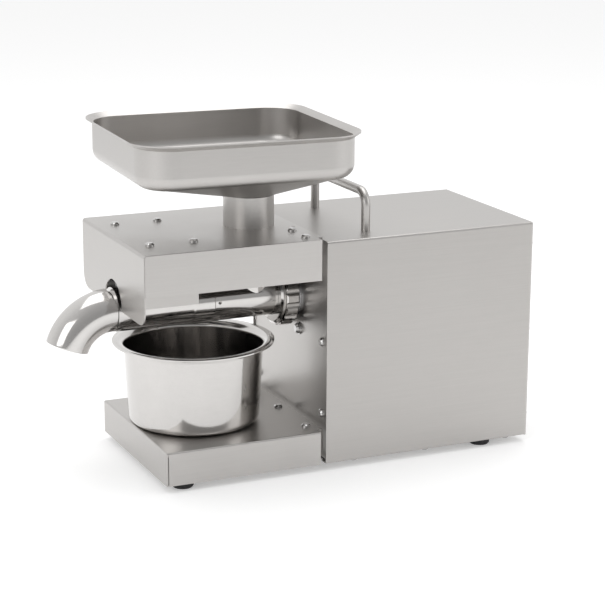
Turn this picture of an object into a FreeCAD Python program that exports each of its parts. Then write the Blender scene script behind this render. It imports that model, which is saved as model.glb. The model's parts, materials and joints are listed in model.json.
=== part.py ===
import FreeCAD, Part
import math
import os

# Screw oil press, millimetres, +Z up. While it is built, X = 0 is the front edge of the motor housing, Y = 0 the
# middle plane and Z = 0 the floor; the spout points to -X. The finished parts are shifted along X so that the
# origin is at the middle of the overall length.

# ---- driving dimensions ------------------------------------------------------------------------------------------
BODY_W = 164.0
HOUSING_L = 203.0
HOUSING_H = 200.0
SHEET = 1.2
PANEL_T = 1.5
FOOT_H = 6.5
FOOT_R = 9.5
FOOT_INSET = 14.5
FRONT_FOOT_X = -129.0
REAR_FOOT_X = 162.0
SEAM = 5.0            # open joint between the housing and the hood or tray
GAP = 0.3             # clearance between sheets that face each other
FIT = 0.05            # clearance of a seated or running round fit
SLIP = 0.3            # clearance of a part that is pulled out by hand

HOOD_END_X = -165.7
HOOD_TOP_Z = 208.9
SKIRT_H = 36.0
END_PLATE_Z = 147.5
NOTCH_R = 22.0
NOTCH_RISE = 4.7

TRAY_END_X = -148.6
TRAY_H = 29.9
TRAY_FLANGE = 26.0

AXIS_Z = 144.5
BARREL_R = 19.5
BORE_R = 15.0
BARREL_LEFT = -167.0
SPIGOT_R = 16.2
SPIGOT_L = 9.0
FLANGE_R = 24.4
FLANGE_T = 3.5
NOSE_FACE_X = -11.5
NOSE_R = 25.0
NUT_R = 30.0
NUT_LOBES = 16
NUT_LIP = 3.0

SCREW_R = 14.6
SCREW_PITCH = 21.0
JOURNAL_R = 10.0
HEX_AF = 10.0

NECK_X = -38.7
NECK_R = 22.5
NECK_WALL = 1.5
NECK_TOP_Z = 236.5
NECK_COLLAR = 5.0
BRANCH_R = 18.5
BRANCH_TOP_Z = 177.0

PAN_L = 205.0
PAN_W = 197.0
PAN_X = -64.5
PAN_TURN = -3.0
PAN_RIM_Z = 300.3
PAN_FLOOR_Z = 260.5
PAN_LIP = 5.5
PAN_CORNER_R = 31.0
PAN_EDGE_R = 12.0
PAN_T = 1.2
PAN_SPIGOT_L = 18.0

SPOUT_R = 19.0
SPOUT_WALL = 1.5
SPOUT_BEND_R = 43.0
SPOUT_TURN = 71.0

BOWL_X = -92.0
BOWL_H = 74.0
BOWL_TOP_R = 62.0
BOWL_BASE_R = 58.5
BOWL_RIM_R = 71.75
BOWL_T = 1.0

HANDLE_X = 50.0
HANDLE_R = 4.0
HANDLE_SPAN = 106.0
HANDLE_TOP_Z = 240.5
HANDLE_BEND_R = 12.0

# gearbox: the stages share the middle shaft, below the press axis
FINE_MODULE = 1.25
COARSE_MODULE = 1.5
OUTPUT_TEETH = 56
LAY_PINION_TEETH = 14
LAY_GEAR_TEETH = 48
MOTOR_PINION_TEETH = 12
BACKLASH = 0.25
LAY_SHAFT_R = 5.0
MOTOR_SHAFT_R = 4.0
CASE_X = 8.0
CASE_WALL = 6.0
CASE_FRONT_T = 8.0
CASE_L = 34.0
COVER_T = 6.0
MOTOR_R = 36.0
MOTOR_L = 82.0
MOTOR_WALL = 2.5
SWITCH_TILT = 8.0

# ---- places that follow from them --------------------------------------------------------------------------------
HALF_W = BODY_W / 2
PLATE_TOP_Z = FOOT_H + PANEL_T
HOUSING_TOP_Z = FOOT_H + HOUSING_H
TRAY_TOP_Z = FOOT_H + TRAY_H
LAY_Z = AXIS_Z - COARSE_MODULE * (OUTPUT_TEETH + LAY_PINION_TEETH) / 2
MOTOR_Z = LAY_Z - FINE_MODULE * (LAY_GEAR_TEETH + MOTOR_PINION_TEETH) / 2
COVER_X = CASE_X + CASE_L
MOTOR_X = COVER_X + COVER_T
MOTOR_END_X = MOTOR_X + MOTOR_L
REAR_X = HOUSING_L - PANEL_T
ROCKER_PROUD = 4.6
SPOUT_TIP_X = BARREL_LEFT - GAP - (SPOUT_BEND_R + SPOUT_R) * math.sin(math.radians(SPOUT_TURN))
X_SHIFT = -(SPOUT_TIP_X + HOUSING_L + ROCKER_PROUD) / 2

X_DIR = FreeCAD.Vector(1, 0, 0)
Y_DIR = FreeCAD.Vector(0, 1, 0)
Z_DIR = FreeCAD.Vector(0, 0, 1)


# ---- shape helpers -----------------------------------------------------------------------------------------------
def vec(x, y, z):
    return FreeCAD.Vector(x, y, z)


def box(x0, x1, y0, y1, z0, z1):
    return Part.makeBox(x1 - x0, y1 - y0, z1 - z0, vec(x0, y0, z0))


def rod_x(r, x0, x1, y=0.0, z=AXIS_Z):
    return Part.makeCylinder(r, x1 - x0, vec(x0, y, z), X_DIR)


def rod_z(r, x, y, z0, z1):
    return Part.makeCylinder(r, z1 - z0, vec(x, y, z0), Z_DIR)


def ring_x(r_out, r_in, x0, x1, y=0.0, z=AXIS_Z):
    return rod_x(r_out, x0, x1, y, z).cut(rod_x(r_in, x0 - 1, x1 + 1, y, z))


def fuse(shapes):
    return shapes[0].multiFuse(shapes[1:]).removeSplitter()


def group(shapes):
    return Part.makeCompound(shapes)


def face(points):
    return Part.Face(Part.makePolygon(points + [points[0]]))


def turned_x(profile, z=AXIS_Z):
    """Solid of revolution about a line along X; profile is a list of (x, radius)."""
    return face([vec(x, 0, z + r) for x, r in profile]).revolve(vec(0, 0, z), X_DIR, 360)


def turned_z(profile, x=0.0, y=0.0):
    """Solid of revolution about a vertical line; profile is a list of (radius, z)."""
    return face([vec(x + r, y, z) for r, z in profile]).revolve(vec(x, y, 0), Z_DIR, 360)


def prism_x(points, x0, x1):
    """Extrusion along X of an outline given as (y, z) points."""
    return face([vec(x0, y, z) for y, z in points]).extrude(vec(x1 - x0, 0, 0))


def edges_at(shape, test):
    return [e for e in shape.Edges if test(e)]


def is_along(edge, direction):
    if not isinstance(edge.Curve, Part.Line):
        return False
    return abs(abs(edge.Curve.Direction.dot(direction)) - 1) < 1e-6


def hexagon_x(across_flats, x0, x1, y=0.0, z=AXIS_Z):
    r = across_flats / math.sqrt(3)
    return prism_x([(y + r * math.cos(math.radians(60 * i)), z + r * math.sin(math.radians(60 * i)))
                    for i in range(6)], x0, x1)


def pan_screw(seat, direction, shank_l, head_r=3.9, head_h=2.4, shank_r=1.9):
    """Pan-head screw: seat is the point under the head, direction points along the shank."""
    bevel = head_h / 2
    profile = [vec(0, 0, -head_h), vec(head_r - bevel, 0, -head_h), vec(head_r, 0, -head_h + bevel),
               vec(head_r, 0, 0), vec(shank_r, 0, 0), vec(shank_r, 0, shank_l), vec(0, 0, shank_l)]
    screw = face(profile).revolve(vec(0, 0, 0), Z_DIR, 360)
    screw.Placement = FreeCAD.Placement(vec(*seat), FreeCAD.Rotation(Z_DIR, vec(*direction)))
    return screw


def belt(r_top, r_low, z_top, z_low, x0, x1):
    """Outline of a belt round two circles above one another, extruded along X."""
    lean = math.asin((r_top - r_low) / (z_top - z_low))
    c, s = math.cos(lean), math.sin(lean)

    def on(r, z, sign):
        return vec(x0, sign * r * c, z - r * s)

    wire = Part.Wire([
        Part.Arc(on(r_top, z_top, 1), vec(x0, 0, z_top + r_top), on(r_top, z_top, -1)).toShape(),
        Part.makeLine(on(r_top, z_top, -1), on(r_low, z_low, -1)),
        Part.Arc(on(r_low, z_low, -1), vec(x0, 0, z_low - r_low), on(r_low, z_low, 1)).toShape(),
        Part.makeLine(on(r_low, z_low, 1), on(r_top, z_top, 1))])
    return Part.Face(wire).extrude(vec(x1 - x0, 0, 0))


def gear(teeth, module, bore_r, x0, x1, z, first_tooth_deg):
    """Spur gear about a line along X; flanks follow the involute of a 20 degree rack through three points."""
    pitch_r = module * teeth / 2
    base_r = pitch_r * math.cos(math.radians(20))
    root_r = pitch_r - 1.1 * module
    tip_r = pitch_r + 0.8 * module

    def roll(r):
        a = math.acos(min(1.0, base_r / r))
        return math.tan(a) - a

    half = math.pi / (2 * teeth) - BACKLASH / (4 * pitch_r) + roll(pitch_r)
    flank = [(root_r, half - roll(root_r)), (pitch_r, half - roll(pitch_r)), (tip_r, half - roll(tip_r))]
    points = []
    for i in range(teeth):
        mid = math.radians(first_tooth_deg) + 2 * math.pi * i / teeth
        tooth = [(r, -a) for r, a in flank] + [(r, a) for r, a in reversed(flank)]
        points += [(r * math.cos(mid + a), z + r * math.sin(mid + a)) for r, a in tooth]
    return prism_x(points, x0, x1).cut(rod_x(bore_r, x0 - 1, x1 + 1, 0, z))


# ---- housing -----------------------------------------------------------------------------------------------------
def housing_cover():
    flange = 9.0
    outer = box(0, HOUSING_L - PANEL_T, -HALF_W, HALF_W, FOOT_H, HOUSING_TOP_Z)
    top_edges = edges_at(outer, lambda e: is_along(e, X_DIR) and e.CenterOfMass.z > HOUSING_TOP_Z - 1)
    outer = outer.makeFillet(SHEET + 0.8, top_edges)
    inner_w = HALF_W - SHEET
    hollow = box(-1, HOUSING_L, -inner_w, inner_w, PLATE_TOP_Z + SHEET, HOUSING_TOP_Z - SHEET)
    hollow = hollow.makeFillet(0.8, edges_at(hollow, lambda e: is_along(e, X_DIR)
                                             and e.CenterOfMass.z > HOUSING_TOP_Z - 2 * SHEET))
    shell = outer.cut(hollow)
    shell = shell.cut(box(-1, HOUSING_L, -inner_w + flange, inner_w - flange, 0, PLATE_TOP_Z + 2 * SHEET))
    shell = shell.cut(box(-1, HOUSING_L, -inner_w, inner_w, 0, PLATE_TOP_Z + FIT))
    lip = 3.0
    rear_lip = 10.0
    lips = []
    for side in (-1, 1):
        near, far = sorted((side * (inner_w - lip), side * inner_w))
        lips.append(box(0, SHEET, near, far, PLATE_TOP_Z + FIT, HOUSING_TOP_Z - SHEET))
        near, far = sorted((side * (inner_w - rear_lip), side * inner_w))
        lips.append(box(REAR_X - SHEET, REAR_X, near, far, PLATE_TOP_Z + FIT, HOUSING_TOP_Z - SHEET))
    lips.append(box(REAR_X - SHEET, REAR_X, -inner_w, inner_w, HOUSING_TOP_Z - SHEET - rear_lip,
                    HOUSING_TOP_Z - SHEET))
    shell = fuse([shell] + lips)
    bracket_w = HOOD_BRACKET_W / 2 + GAP
    cuts = [box(-1, PANEL_T + GAP, -bracket_w, bracket_w, HOUSING_TOP_Z - SHEET - GAP, HOUSING_TOP_Z + 1)]
    cuts += [rod_z(HANDLE_R + GAP, HANDLE_X, y, HOUSING_TOP_Z - 5, HOUSING_TOP_Z + 5) for y in handle_legs()]
    cuts += [Part.makeCylinder(2.1, 4, vec(REAR_X - 2, y, z), X_DIR) for y, z in rear_screw_places()]
    cuts += [rod_z(2.1, x, y, PLATE_TOP_Z - 1, PLATE_TOP_Z + 3) for x, y in base_screw_places()]
    return shell.cut(fuse(cuts))


def handle_legs():
    return (-HANDLE_SPAN / 2, HANDLE_SPAN / 2)


def rear_screw_places():
    inset = SHEET + 5.0
    return [(side * (HALF_W - inset), z) for side in (-1, 1)
            for z in (FOOT_H + 0.1 * HOUSING_H, FOOT_H + 0.5 * HOUSING_H, FOOT_H + 0.9 * HOUSING_H)]


def base_screw_places():
    inset = SHEET + 6.0
    return [(x, side * (HALF_W - inset)) for side in (-1, 1) for x in (30.0, HOUSING_L / 2, 185.0)]


PANEL_X = PANEL_T                 # outer face of the front panel, behind the cover's lips
PANEL_IN = PANEL_X + PANEL_T
PANEL_HALF = HALF_W - SHEET - GAP
PANEL_TOP_Z = HOUSING_TOP_Z - SHEET - GAP
HOOD_BRACKET_W = 136.0
GEARBOX_BOLTS = [(y, AXIS_Z + z) for y in (-20.0, 20.0) for z in (-30.0, 30.0)]
PANEL_SCREWS = [(side * (HALF_W - 13.0), FOOT_H + z) for side in (-1, 1) for z in (43.0, 108.0)]
SOCKET_FLANGE_T = CASE_X - PANEL_IN


def front_panel():
    flange = 14.0
    low = PLATE_TOP_Z + SHEET + GAP
    sheet = box(PANEL_X, PANEL_IN, -PANEL_HALF, PANEL_HALF, low, PANEL_TOP_Z)
    bends = [sheet]
    for side in (-1, 1):
        y0, y1 = sorted((side * (PANEL_HALF - PANEL_T), side * PANEL_HALF))
        bends.append(box(PANEL_X, PANEL_X + flange, y0, y1, low, PANEL_TOP_Z))
    holes = [rod_x(NOSE_R + GAP, -5, 10)]
    holes += [rod_x(2.6, -5, 10, y, z) for y, z in GEARBOX_BOLTS]
    holes += [rod_x(2.0, -5, 10, y, z) for y, z in PANEL_SCREWS]
    holes += [rod_x(2.0, -5, 10, y, z) for y, z in BRACKET_SCREWS]
    return fuse(bends).cut(fuse(holes))


def rear_panel():
    sheet = box(REAR_X, HOUSING_L, -HALF_W, HALF_W, FOOT_H, HOUSING_TOP_Z)
    sheet = sheet.makeFillet(SHEET + 0.8, edges_at(sheet, lambda e: is_along(e, X_DIR)
                                                   and e.CenterOfMass.z > HOUSING_TOP_Z - 1))
    cuts = [rod_x(2.1, REAR_X - 1, HOUSING_L + 1, y, z) for y, z in rear_screw_places()]
    x0, x1 = REAR_X - 1, HOUSING_L + 1
    for z in SWITCHES:
        cuts.append(box(x0, x1, SWITCH_Y - SWITCH_HALF_W, SWITCH_Y + SWITCH_HALF_W, z - SWITCH_HALF_H,
                        z + SWITCH_HALF_H))
    cuts.append(box(x0, x1, SWITCH_Y - INLET_HALF_W, SWITCH_Y + INLET_HALF_W, INLET_Z - INLET_HALF_H,
                    INLET_Z + INLET_HALF_H))
    for row in range(VENT_ROWS):
        for column in range(VENT_COLUMNS):
            y = VENT_Y + (column - (VENT_COLUMNS - 1) / 2) * VENT_PITCH_Y
            z = VENT_Z + (row - (VENT_ROWS - 1) / 2) * VENT_PITCH_Z
            cuts.append(box(x0, x1, y - VENT_L / 2, y + VENT_L / 2, z - VENT_H / 2, z + VENT_H / 2))
    return sheet.cut(fuse(cuts))


VENT_ROWS = 7
VENT_COLUMNS = 2
VENT_L = 34.0
VENT_H = 3.0
VENT_Y = 24.0
VENT_Z = 70.0
VENT_PITCH_Y = 42.0
VENT_PITCH_Z = 10.0
SWITCH_Y = -48.0
SWITCHES = (112.0, 152.0)
SWITCH_HALF_W = 7.0
SWITCH_HALF_H = 12.5
INLET_Z = 62.0
INLET_HALF_W = 14.0
INLET_HALF_H = 10.5


def base_plate():
    plate = box(PANEL_X, REAR_X - GAP, -HALF_W + SHEET + GAP, HALF_W - SHEET - GAP, FOOT_H, PLATE_TOP_Z)
    holes = [rod_z(2.1, REAR_FOOT_X, side * (HALF_W - FOOT_INSET), 0, 20) for side in (-1, 1)]
    holes += [rod_z(2.1, x, y, 0, 20) for x, y in base_screw_places()]
    for i in range(6):
        x = 70 + 12.0 * i
        holes.append(box(x, x + 4, -62, -44, 0, 20))
        holes.append(box(x, x + 4, 44, 62, 0, 20))
    return plate.cut(fuse(holes))


def feet():
    def foot(x, y):
        body = turned_z([(0, 0), (FOOT_R - 1.2, 0), (FOOT_R, 1.5), (FOOT_R, FOOT_H), (0, FOOT_H)], x, y)
        return body.cut(rod_z(4.6, x, y, -1, 3.6)).cut(rod_z(2.2, x, y, -1, FOOT_H + 1))
    return group([foot(*p) for p in foot_places()])


def foot_places():
    return [(x, side * (HALF_W - FOOT_INSET)) for x in (FRONT_FOOT_X, REAR_FOOT_X) for side in (-1, 1)]


def foot_screws():
    def screw(x, y):
        sheet = SHEET if x < 0 else PANEL_T
        nut = rod_z(3.9, x, y, FOOT_H + sheet, FOOT_H + sheet + 3)
        shank = rod_z(1.9, x, y, 1.4, FOOT_H + sheet + 4.5)
        return fuse([rod_z(3.9, x, y, 1.2, 3.6), shank, nut])
    return group([screw(*p) for p in foot_places()])


# ---- tray and hood -----------------------------------------------------------------------------------------------
TRAY_SCREWS = [(-10.0, y) for y in (-61.0, 0.0, 61.0)]
HOOD_SCREWS = [(-14.0, y) for y in (-67.5, -39.0, 39.0, 67.5)]
CRADLE_SCREWS = [(x, y) for x in (-147.5, -108.0) for y in (-44.5, 44.5)]
BRACKET_SCREWS = [(y, z) for z in (18.0, 192.0) for y in (-48.0, 0.0, 48.0)]
BRACKET_T = 1.5
BRACKET_REACH = 20.0


def base_tray():
    outer = box(TRAY_END_X, -SEAM, -HALF_W, HALF_W, FOOT_H, TRAY_TOP_Z)
    outer = outer.makeFillet(1.6, edges_at(outer, lambda e: e.CenterOfMass.z > TRAY_TOP_Z - 1
                                           and e.CenterOfMass.x < -SEAM - 1))
    wall = HALF_W - SHEET
    inner = box(TRAY_END_X + SHEET, 0, -wall, wall, FOOT_H + SHEET, TRAY_TOP_Z - SHEET)
    mouth = box(TRAY_END_X + TRAY_FLANGE, 0, -HALF_W + TRAY_FLANGE, HALF_W - TRAY_FLANGE, 0, FOOT_H + 2 * SHEET)
    tray = outer.cut(inner).cut(mouth)
    seam_x = TRAY_END_X + SHEET
    cuts = [box(seam_x, seam_x + 0.7, side * HALF_W - 2, side * HALF_W + 2, FOOT_H - 1, TRAY_TOP_Z - 2.5)
            for side in (-1, 1)]
    cuts += [rod_z(2.1, x, y, TRAY_TOP_Z - 5, TRAY_TOP_Z + 5) for x, y in TRAY_SCREWS]
    cuts += [rod_z(2.1, x, y, 0, FOOT_H + 5) for x, y in foot_places() if x < 0]
    return tray.cut(fuse(cuts))


def angle_bracket(z_flat, z_end, half_w, screws):
    """Angle from the front panel to the underside of a top sheet; z_flat is the top of its level leg."""
    z0, z1 = sorted((z_flat, z_end))
    upright = box(0, BRACKET_T, -half_w, half_w, z0, z1)
    level = box(-BRACKET_REACH, BRACKET_T, -half_w, half_w, z_flat - BRACKET_T, z_flat)
    holes = [rod_z(2.0, x, y, z_flat - 5, z_flat + 5) for x, y in screws]
    holes += [rod_x(2.0, -5, 10, y, z) for y, z in BRACKET_SCREWS if z0 < z < z1]
    return fuse([upright, level]).cut(fuse(holes))


def tray_bracket():
    return angle_bracket(TRAY_TOP_Z - SHEET, PLATE_TOP_Z + 2, 70.0, TRAY_SCREWS)


def hood_bracket():
    relief = rod_z(NECK_R + NECK_COLLAR + GAP, NECK_X, 0, HOOD_TOP_Z - 10, HOOD_TOP_Z)
    return angle_bracket(HOOD_TOP_Z - SHEET, 180.0, HOOD_BRACKET_W / 2, HOOD_SCREWS).cut(relief)


def hood_shell():
    bend_r = 3.0
    half = HALF_W - SHEET - FIT
    outer = box(HOOD_END_X, -SEAM, -half, half, END_PLATE_Z, HOOD_TOP_Z)
    outer = outer.makeFillet(bend_r, edges_at(outer, lambda e: is_along(e, Y_DIR) and e.CenterOfMass.x < -100
                                              and e.CenterOfMass.z > HOOD_TOP_Z - 1))
    inner = box(HOOD_END_X + SHEET, 0, -HALF_W, HALF_W, 0, HOOD_TOP_Z - SHEET)
    inner = inner.makeFillet(bend_r - SHEET, edges_at(inner, lambda e: is_along(e, Y_DIR)
                                                      and e.CenterOfMass.x < -100
                                                      and e.CenterOfMass.z > HOOD_TOP_Z - 2 * SHEET))
    shell = outer.cut(inner)
    corners = edges_at(shell, lambda e: is_along(e, X_DIR) and e.CenterOfMass.z < END_PLATE_Z + 1)
    shell = shell.makeFillet(14.0, corners)
    notch_z = AXIS_Z + NOTCH_RISE
    cuts = [rod_x(NOTCH_R, HOOD_END_X - 2, HOOD_END_X + 4, 0, notch_z),
            box(HOOD_END_X - 2, HOOD_END_X + 4, -NOTCH_R, NOTCH_R, END_PLATE_Z - 5, notch_z),
            rod_z(NECK_R + FIT, NECK_X, 0, HOOD_TOP_Z - 5, HOOD_TOP_Z + 5)]
    cuts += [rod_z(2.1, x, y, HOOD_TOP_Z - 5, HOOD_TOP_Z + 5) for x, y in HOOD_SCREWS + CRADLE_SCREWS]
    cuts += [box(-SEAM - 3.5, 0, y - 4, y + 4, HOOD_TOP_Z - 5, HOOD_TOP_Z + 5) for y in (-28.5, 28.5)]
    return shell.cut(fuse(cuts))


def hood_skirt(side):
    y0, y1 = sorted((side * HALF_W, side * (HALF_W - SHEET)))
    sheet = box(HOOD_END_X + 0.4, -SEAM, y0, y1, HOOD_TOP_Z - SKIRT_H, HOOD_TOP_Z)
    return sheet.makeFillet(2.6, edges_at(sheet, lambda e: is_along(e, Y_DIR) and e.CenterOfMass.x < -100
                                          and e.CenterOfMass.z > HOOD_TOP_Z - 1))


CRADLE_HALF = 40.0
CRADLE_Z = 152.5
CRADLE_X = (-158.0, -102.0)
CRADLE_T = 1.2
BLOCK_TOP_Z = AXIS_Z + 42.0
BLOCK_X = (-154.0, -110.0)
HEATER_ROD_R = 4.0


def heater_cradle():
    x0, x1 = CRADLE_X
    top = HOOD_TOP_Z - SHEET
    web = box(x0, x1, -CRADLE_HALF - 12, CRADLE_HALF + 12, top - CRADLE_T, top)
    walls = []
    for side in (-1, 1):
        y0, y1 = sorted((side * CRADLE_HALF, side * (CRADLE_HALF - CRADLE_T)))
        walls.append(box(x0, x1, y0, y1, CRADLE_Z, top))
        y0, y1 = sorted((side * CRADLE_HALF, side * (CRADLE_HALF - 8)))
        walls.append(box(x0, x1, y0, y1, CRADLE_Z, CRADLE_Z + CRADLE_T))
    holes = [rod_z(2.0, x, y, top - 5, top + 5) for x, y in CRADLE_SCREWS]
    return fuse([web] + walls).cut(fuse(holes))


def heater_block():
    x0, x1 = BLOCK_X
    mid = (x0 + x1) / 2
    half = BARREL_R + 9.0
    block = box(x0, x1, -half, half, CRADLE_Z + 1, BLOCK_TOP_Z)
    block = block.makeFillet(6.0, edges_at(block, lambda e: is_along(e, X_DIR) and e.CenterOfMass.z > AXIS_Z + 10))
    posts = [rod_z(5.0, mid + dx, 0, BLOCK_TOP_Z - 1, HOOD_TOP_Z - SHEET - CRADLE_T) for dx in (-15.0, 15.0)]
    cuts = [rod_x(BARREL_R + SLIP, x0 - 1, x1 + 1)]
    cuts += [rod_x(HEATER_ROD_R + FIT, x0 - 1, x1 + 1, y, BLOCK_TOP_Z - 9) for y in heater_rod_places()]
    return fuse([block] + posts).cut(fuse(cuts))


def heater_rod_places():
    return (-BARREL_R + 3.0, BARREL_R - 3.0)


def heater_rods():
    return group([rod_x(HEATER_ROD_R, BLOCK_X[0] + 2, BLOCK_X[1] + 5, y, BLOCK_TOP_Z - 9)
                  for y in heater_rod_places()])


def thermostat():
    mid = sum(BLOCK_X) / 2
    body = rod_z(7.0, mid, 0, BLOCK_TOP_Z, BLOCK_TOP_Z + 7)
    tabs = [box(mid - 4, mid + 4, y - 0.4, y + 0.4, BLOCK_TOP_Z + 6, BLOCK_TOP_Z + 14) for y in (-4.0, 4.0)]
    return fuse([body] + tabs)


# ---- press -------------------------------------------------------------------------------------------------------
def press_barrel():
    flange_x = NOSE_FACE_X - FIT - FLANGE_T
    body = turned_x([(BARREL_LEFT - SPIGOT_L, 0), (BARREL_LEFT - SPIGOT_L, SPIGOT_R), (BARREL_LEFT, SPIGOT_R),
                     (BARREL_LEFT, BARREL_R), (flange_x, BARREL_R), (flange_x, FLANGE_R),
                     (flange_x + FLANGE_T, FLANGE_R), (flange_x + FLANGE_T, REGISTER_R - SLIP),
                     (flange_x + FLANGE_T + REGISTER_L, REGISTER_R - SLIP), (flange_x + FLANGE_T + REGISTER_L, 0)])
    branch = turned_z([(0, AXIS_Z - 14), (10, AXIS_Z - 14), (BRANCH_R, AXIS_Z + 6), (BRANCH_R, BRANCH_TOP_Z),
                       (0, BRANCH_TOP_Z)], NECK_X)
    oil_band = turned_x([(OIL_X[0], 0), (OIL_X[0], BARREL_R), (OIL_X[0] + 1, BARREL_R + 1),
                         (OIL_X[1] - 1, BARREL_R + 1), (OIL_X[1], BARREL_R), (OIL_X[1], 0)])
    oil_band = oil_band.common(box(OIL_X[0], OIL_X[1], -30, 30, AXIS_Z - 30, AXIS_Z + 6))
    pin = rod_z(1.2, NECK_X + 6, 0, AXIS_Z - BARREL_R - 3.5, AXIS_Z - BARREL_R + 2)
    solid = fuse([body, branch, oil_band, pin])
    throat = turned_z([(0, AXIS_Z), (11, AXIS_Z), (11, AXIS_Z + BARREL_R), (BRANCH_R - 2, BRANCH_TOP_Z + 1),
                       (0, BRANCH_TOP_Z + 1)], NECK_X)
    bore = turned_x([(BARREL_LEFT + NOZZLE_L, 0), (BARREL_LEFT + NOZZLE_L, BORE_R), (1, BORE_R), (1, 0)])
    seat = turned_x([(BARREL_LEFT - SPIGOT_L - 1, 0), (BARREL_LEFT - SPIGOT_L - 1, NOZZLE_R + FIT),
                     (BARREL_LEFT + NOZZLE_L + 1, NOZZLE_R + FIT), (BARREL_LEFT + NOZZLE_L + 1, 0)])
    slits = []
    for i in range(OIL_SLITS):
        x = OIL_X[0] + 3 + i * (OIL_X[1] - OIL_X[0] - 7) / (OIL_SLITS - 1)
        slits.append(box(x, x + 1.0, -11, 11, AXIS_Z - BARREL_R - 2, AXIS_Z - 8))
    sight = Part.makeCylinder(1.6, 4, vec(OIL_X[1] + 4, -BARREL_R - 1, AXIS_Z + 1), Y_DIR)
    return solid.cut(fuse([bore, seat, throat])).cut(group(slits)).cut(sight)


OIL_X = (-98.0, -78.0)
OIL_SLITS = 5
NOZZLE_R = 14.4
NOZZLE_L = 6.0
REGISTER_R = 22.0
REGISTER_L = 5.0
SCREW_X = (-151.0, -22.0)


def cake_nozzle():
    """Threaded ring in the barrel's end; its cone and the screw's end cone leave the gap for the cake."""
    left = BARREL_LEFT - SPIGOT_L
    return turned_x([(left + 1, NOZZLE_R), (left + 1, 10.5), (left + 9, 10.5),
                     (BARREL_LEFT + NOZZLE_L - 0.5, 12.8), (BARREL_LEFT + NOZZLE_L - 0.5, NOZZLE_R)])


def press_screw():
    """Helical screw whose core thickens towards the cake end, with a journal and a hexagon tang at the drive end."""
    left, right = SCREW_X
    length = right - left
    turns = Part.makeHelix(SCREW_PITCH, length - 3, SCREW_R)
    start = vec(SCREW_R, 0, 0)
    flight = Part.makePolygon([start + vec(-9.6, 0, -2.6), start + vec(0, 0, -1.3), start + vec(0, 0, 1.3),
                               start + vec(-9.6, 0, 2.6), start + vec(-9.6, 0, -2.6)])
    thread = Part.Wire(turns).makePipeShell([flight], True, True)
    thread.rotate(vec(0, 0, 0), Y_DIR, -90)
    thread.translate(vec(right - 1.5, 0, AXIS_Z))
    core = turned_x([(left - 13, 0), (left - 13, 7.0), (left, 12.0), (right, 7.5), (right, SCREW_R),
                     (right + 2, SCREW_R), (right + 2, JOURNAL_R), (JOURNAL_END_X, JOURNAL_R), (JOURNAL_END_X, 0)])
    tang = hexagon_x(HEX_AF, JOURNAL_END_X - 1, TANG_END_X)
    return fuse([core, thread, tang])


JOURNAL_END_X = -1.0
TANG_END_X = 16.0


def lock_nut():
    """Union nut: scalloped grip, a collar with a lip behind the barrel's flange, and a clear bore over the nose."""
    flange_x = NOSE_FACE_X - FIT - FLANGE_T
    lip_x = flange_x - GAP - NUT_LIP
    grip_x = lip_x + NUT_LIP + 1.2
    end_x = -2.0
    groove = 1.5
    solid = turned_x([(lip_x, BARREL_R + SLIP), (lip_x, NUT_R - 4.5), (lip_x + 1.5, NUT_R - 2.2),
                      (grip_x - 1.0, NUT_R - 2.2), (grip_x - 1.0, NUT_R - 2.2 - groove),
                      (grip_x, NUT_R - 2.2 - groove), (grip_x, NUT_R - 1.0), (grip_x + 1.2, NUT_R),
                      (end_x - 1.2, NUT_R), (end_x, NUT_R - 1.2), (end_x, NOSE_R + SLIP),
                      (lip_x + NUT_LIP, NOSE_R + SLIP), (lip_x + NUT_LIP, BARREL_R + SLIP)])
    scallops = []
    reach = NUT_R + 3.2
    for i in range(NUT_LOBES):
        a = 2 * math.pi * (i + 0.5) / NUT_LOBES
        scallops.append(rod_x(4.6, grip_x, end_x + 1, reach * math.cos(a), AXIS_Z + reach * math.sin(a)))
    return solid.cut(group(scallops))


def barrel_socket():
    """Turned nose on the front panel: register for the barrel, thread for the lock nut, flange behind the panel."""
    solid = turned_x([(NOSE_FACE_X, REGISTER_R), (NOSE_FACE_X, NOSE_R), (PANEL_IN, NOSE_R), (PANEL_IN, 45),
                      (CASE_X, 45), (CASE_X, JOURNAL_R + 3), (NOSE_FACE_X + REGISTER_L + 1, JOURNAL_R + 3),
                      (NOSE_FACE_X + REGISTER_L + 1, REGISTER_R)])
    return solid.cut(group([rod_x(2.6, 0, 20, y, z) for y, z in GEARBOX_BOLTS]))


def residue_spout():
    centre = vec(BARREL_LEFT - GAP, 0, AXIS_Z - SPOUT_BEND_R)

    def bend(r):
        circle = Part.Face(Part.Wire(Part.makeCircle(r, vec(centre.x, 0, AXIS_Z), X_DIR)))
        return circle.revolve(centre, Y_DIR, -SPOUT_TURN)

    tube = bend(SPOUT_R).cut(bend(SPOUT_R - SPOUT_WALL))
    wedge = face([vec(centre.x + 5, -30, AXIS_Z), vec(centre.x, -30, AXIS_Z),
                  vec(centre.x - 10, -30, AXIS_Z + BARREL_R), vec(centre.x - 10, -30, AXIS_Z + 30),
                  vec(centre.x + 5, -30, AXIS_Z + 30)]).extrude(vec(0, 60, 0))
    return tube.cut(wedge)


# ---- feed and bowl -----------------------------------------------------------------------------------------------
def feed_neck():
    ring = HOOD_TOP_Z - SHEET
    inner = NECK_R - NECK_WALL
    collar = NECK_R + NECK_COLLAR
    return turned_z([(inner, BRANCH_TOP_Z + 1), (NECK_R, BRANCH_TOP_Z + 1), (NECK_R, ring - 3), (collar, ring - 3),
                     (collar, ring), (NECK_R, ring), (NECK_R, NECK_TOP_Z), (inner, NECK_TOP_Z)], NECK_X)


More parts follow.
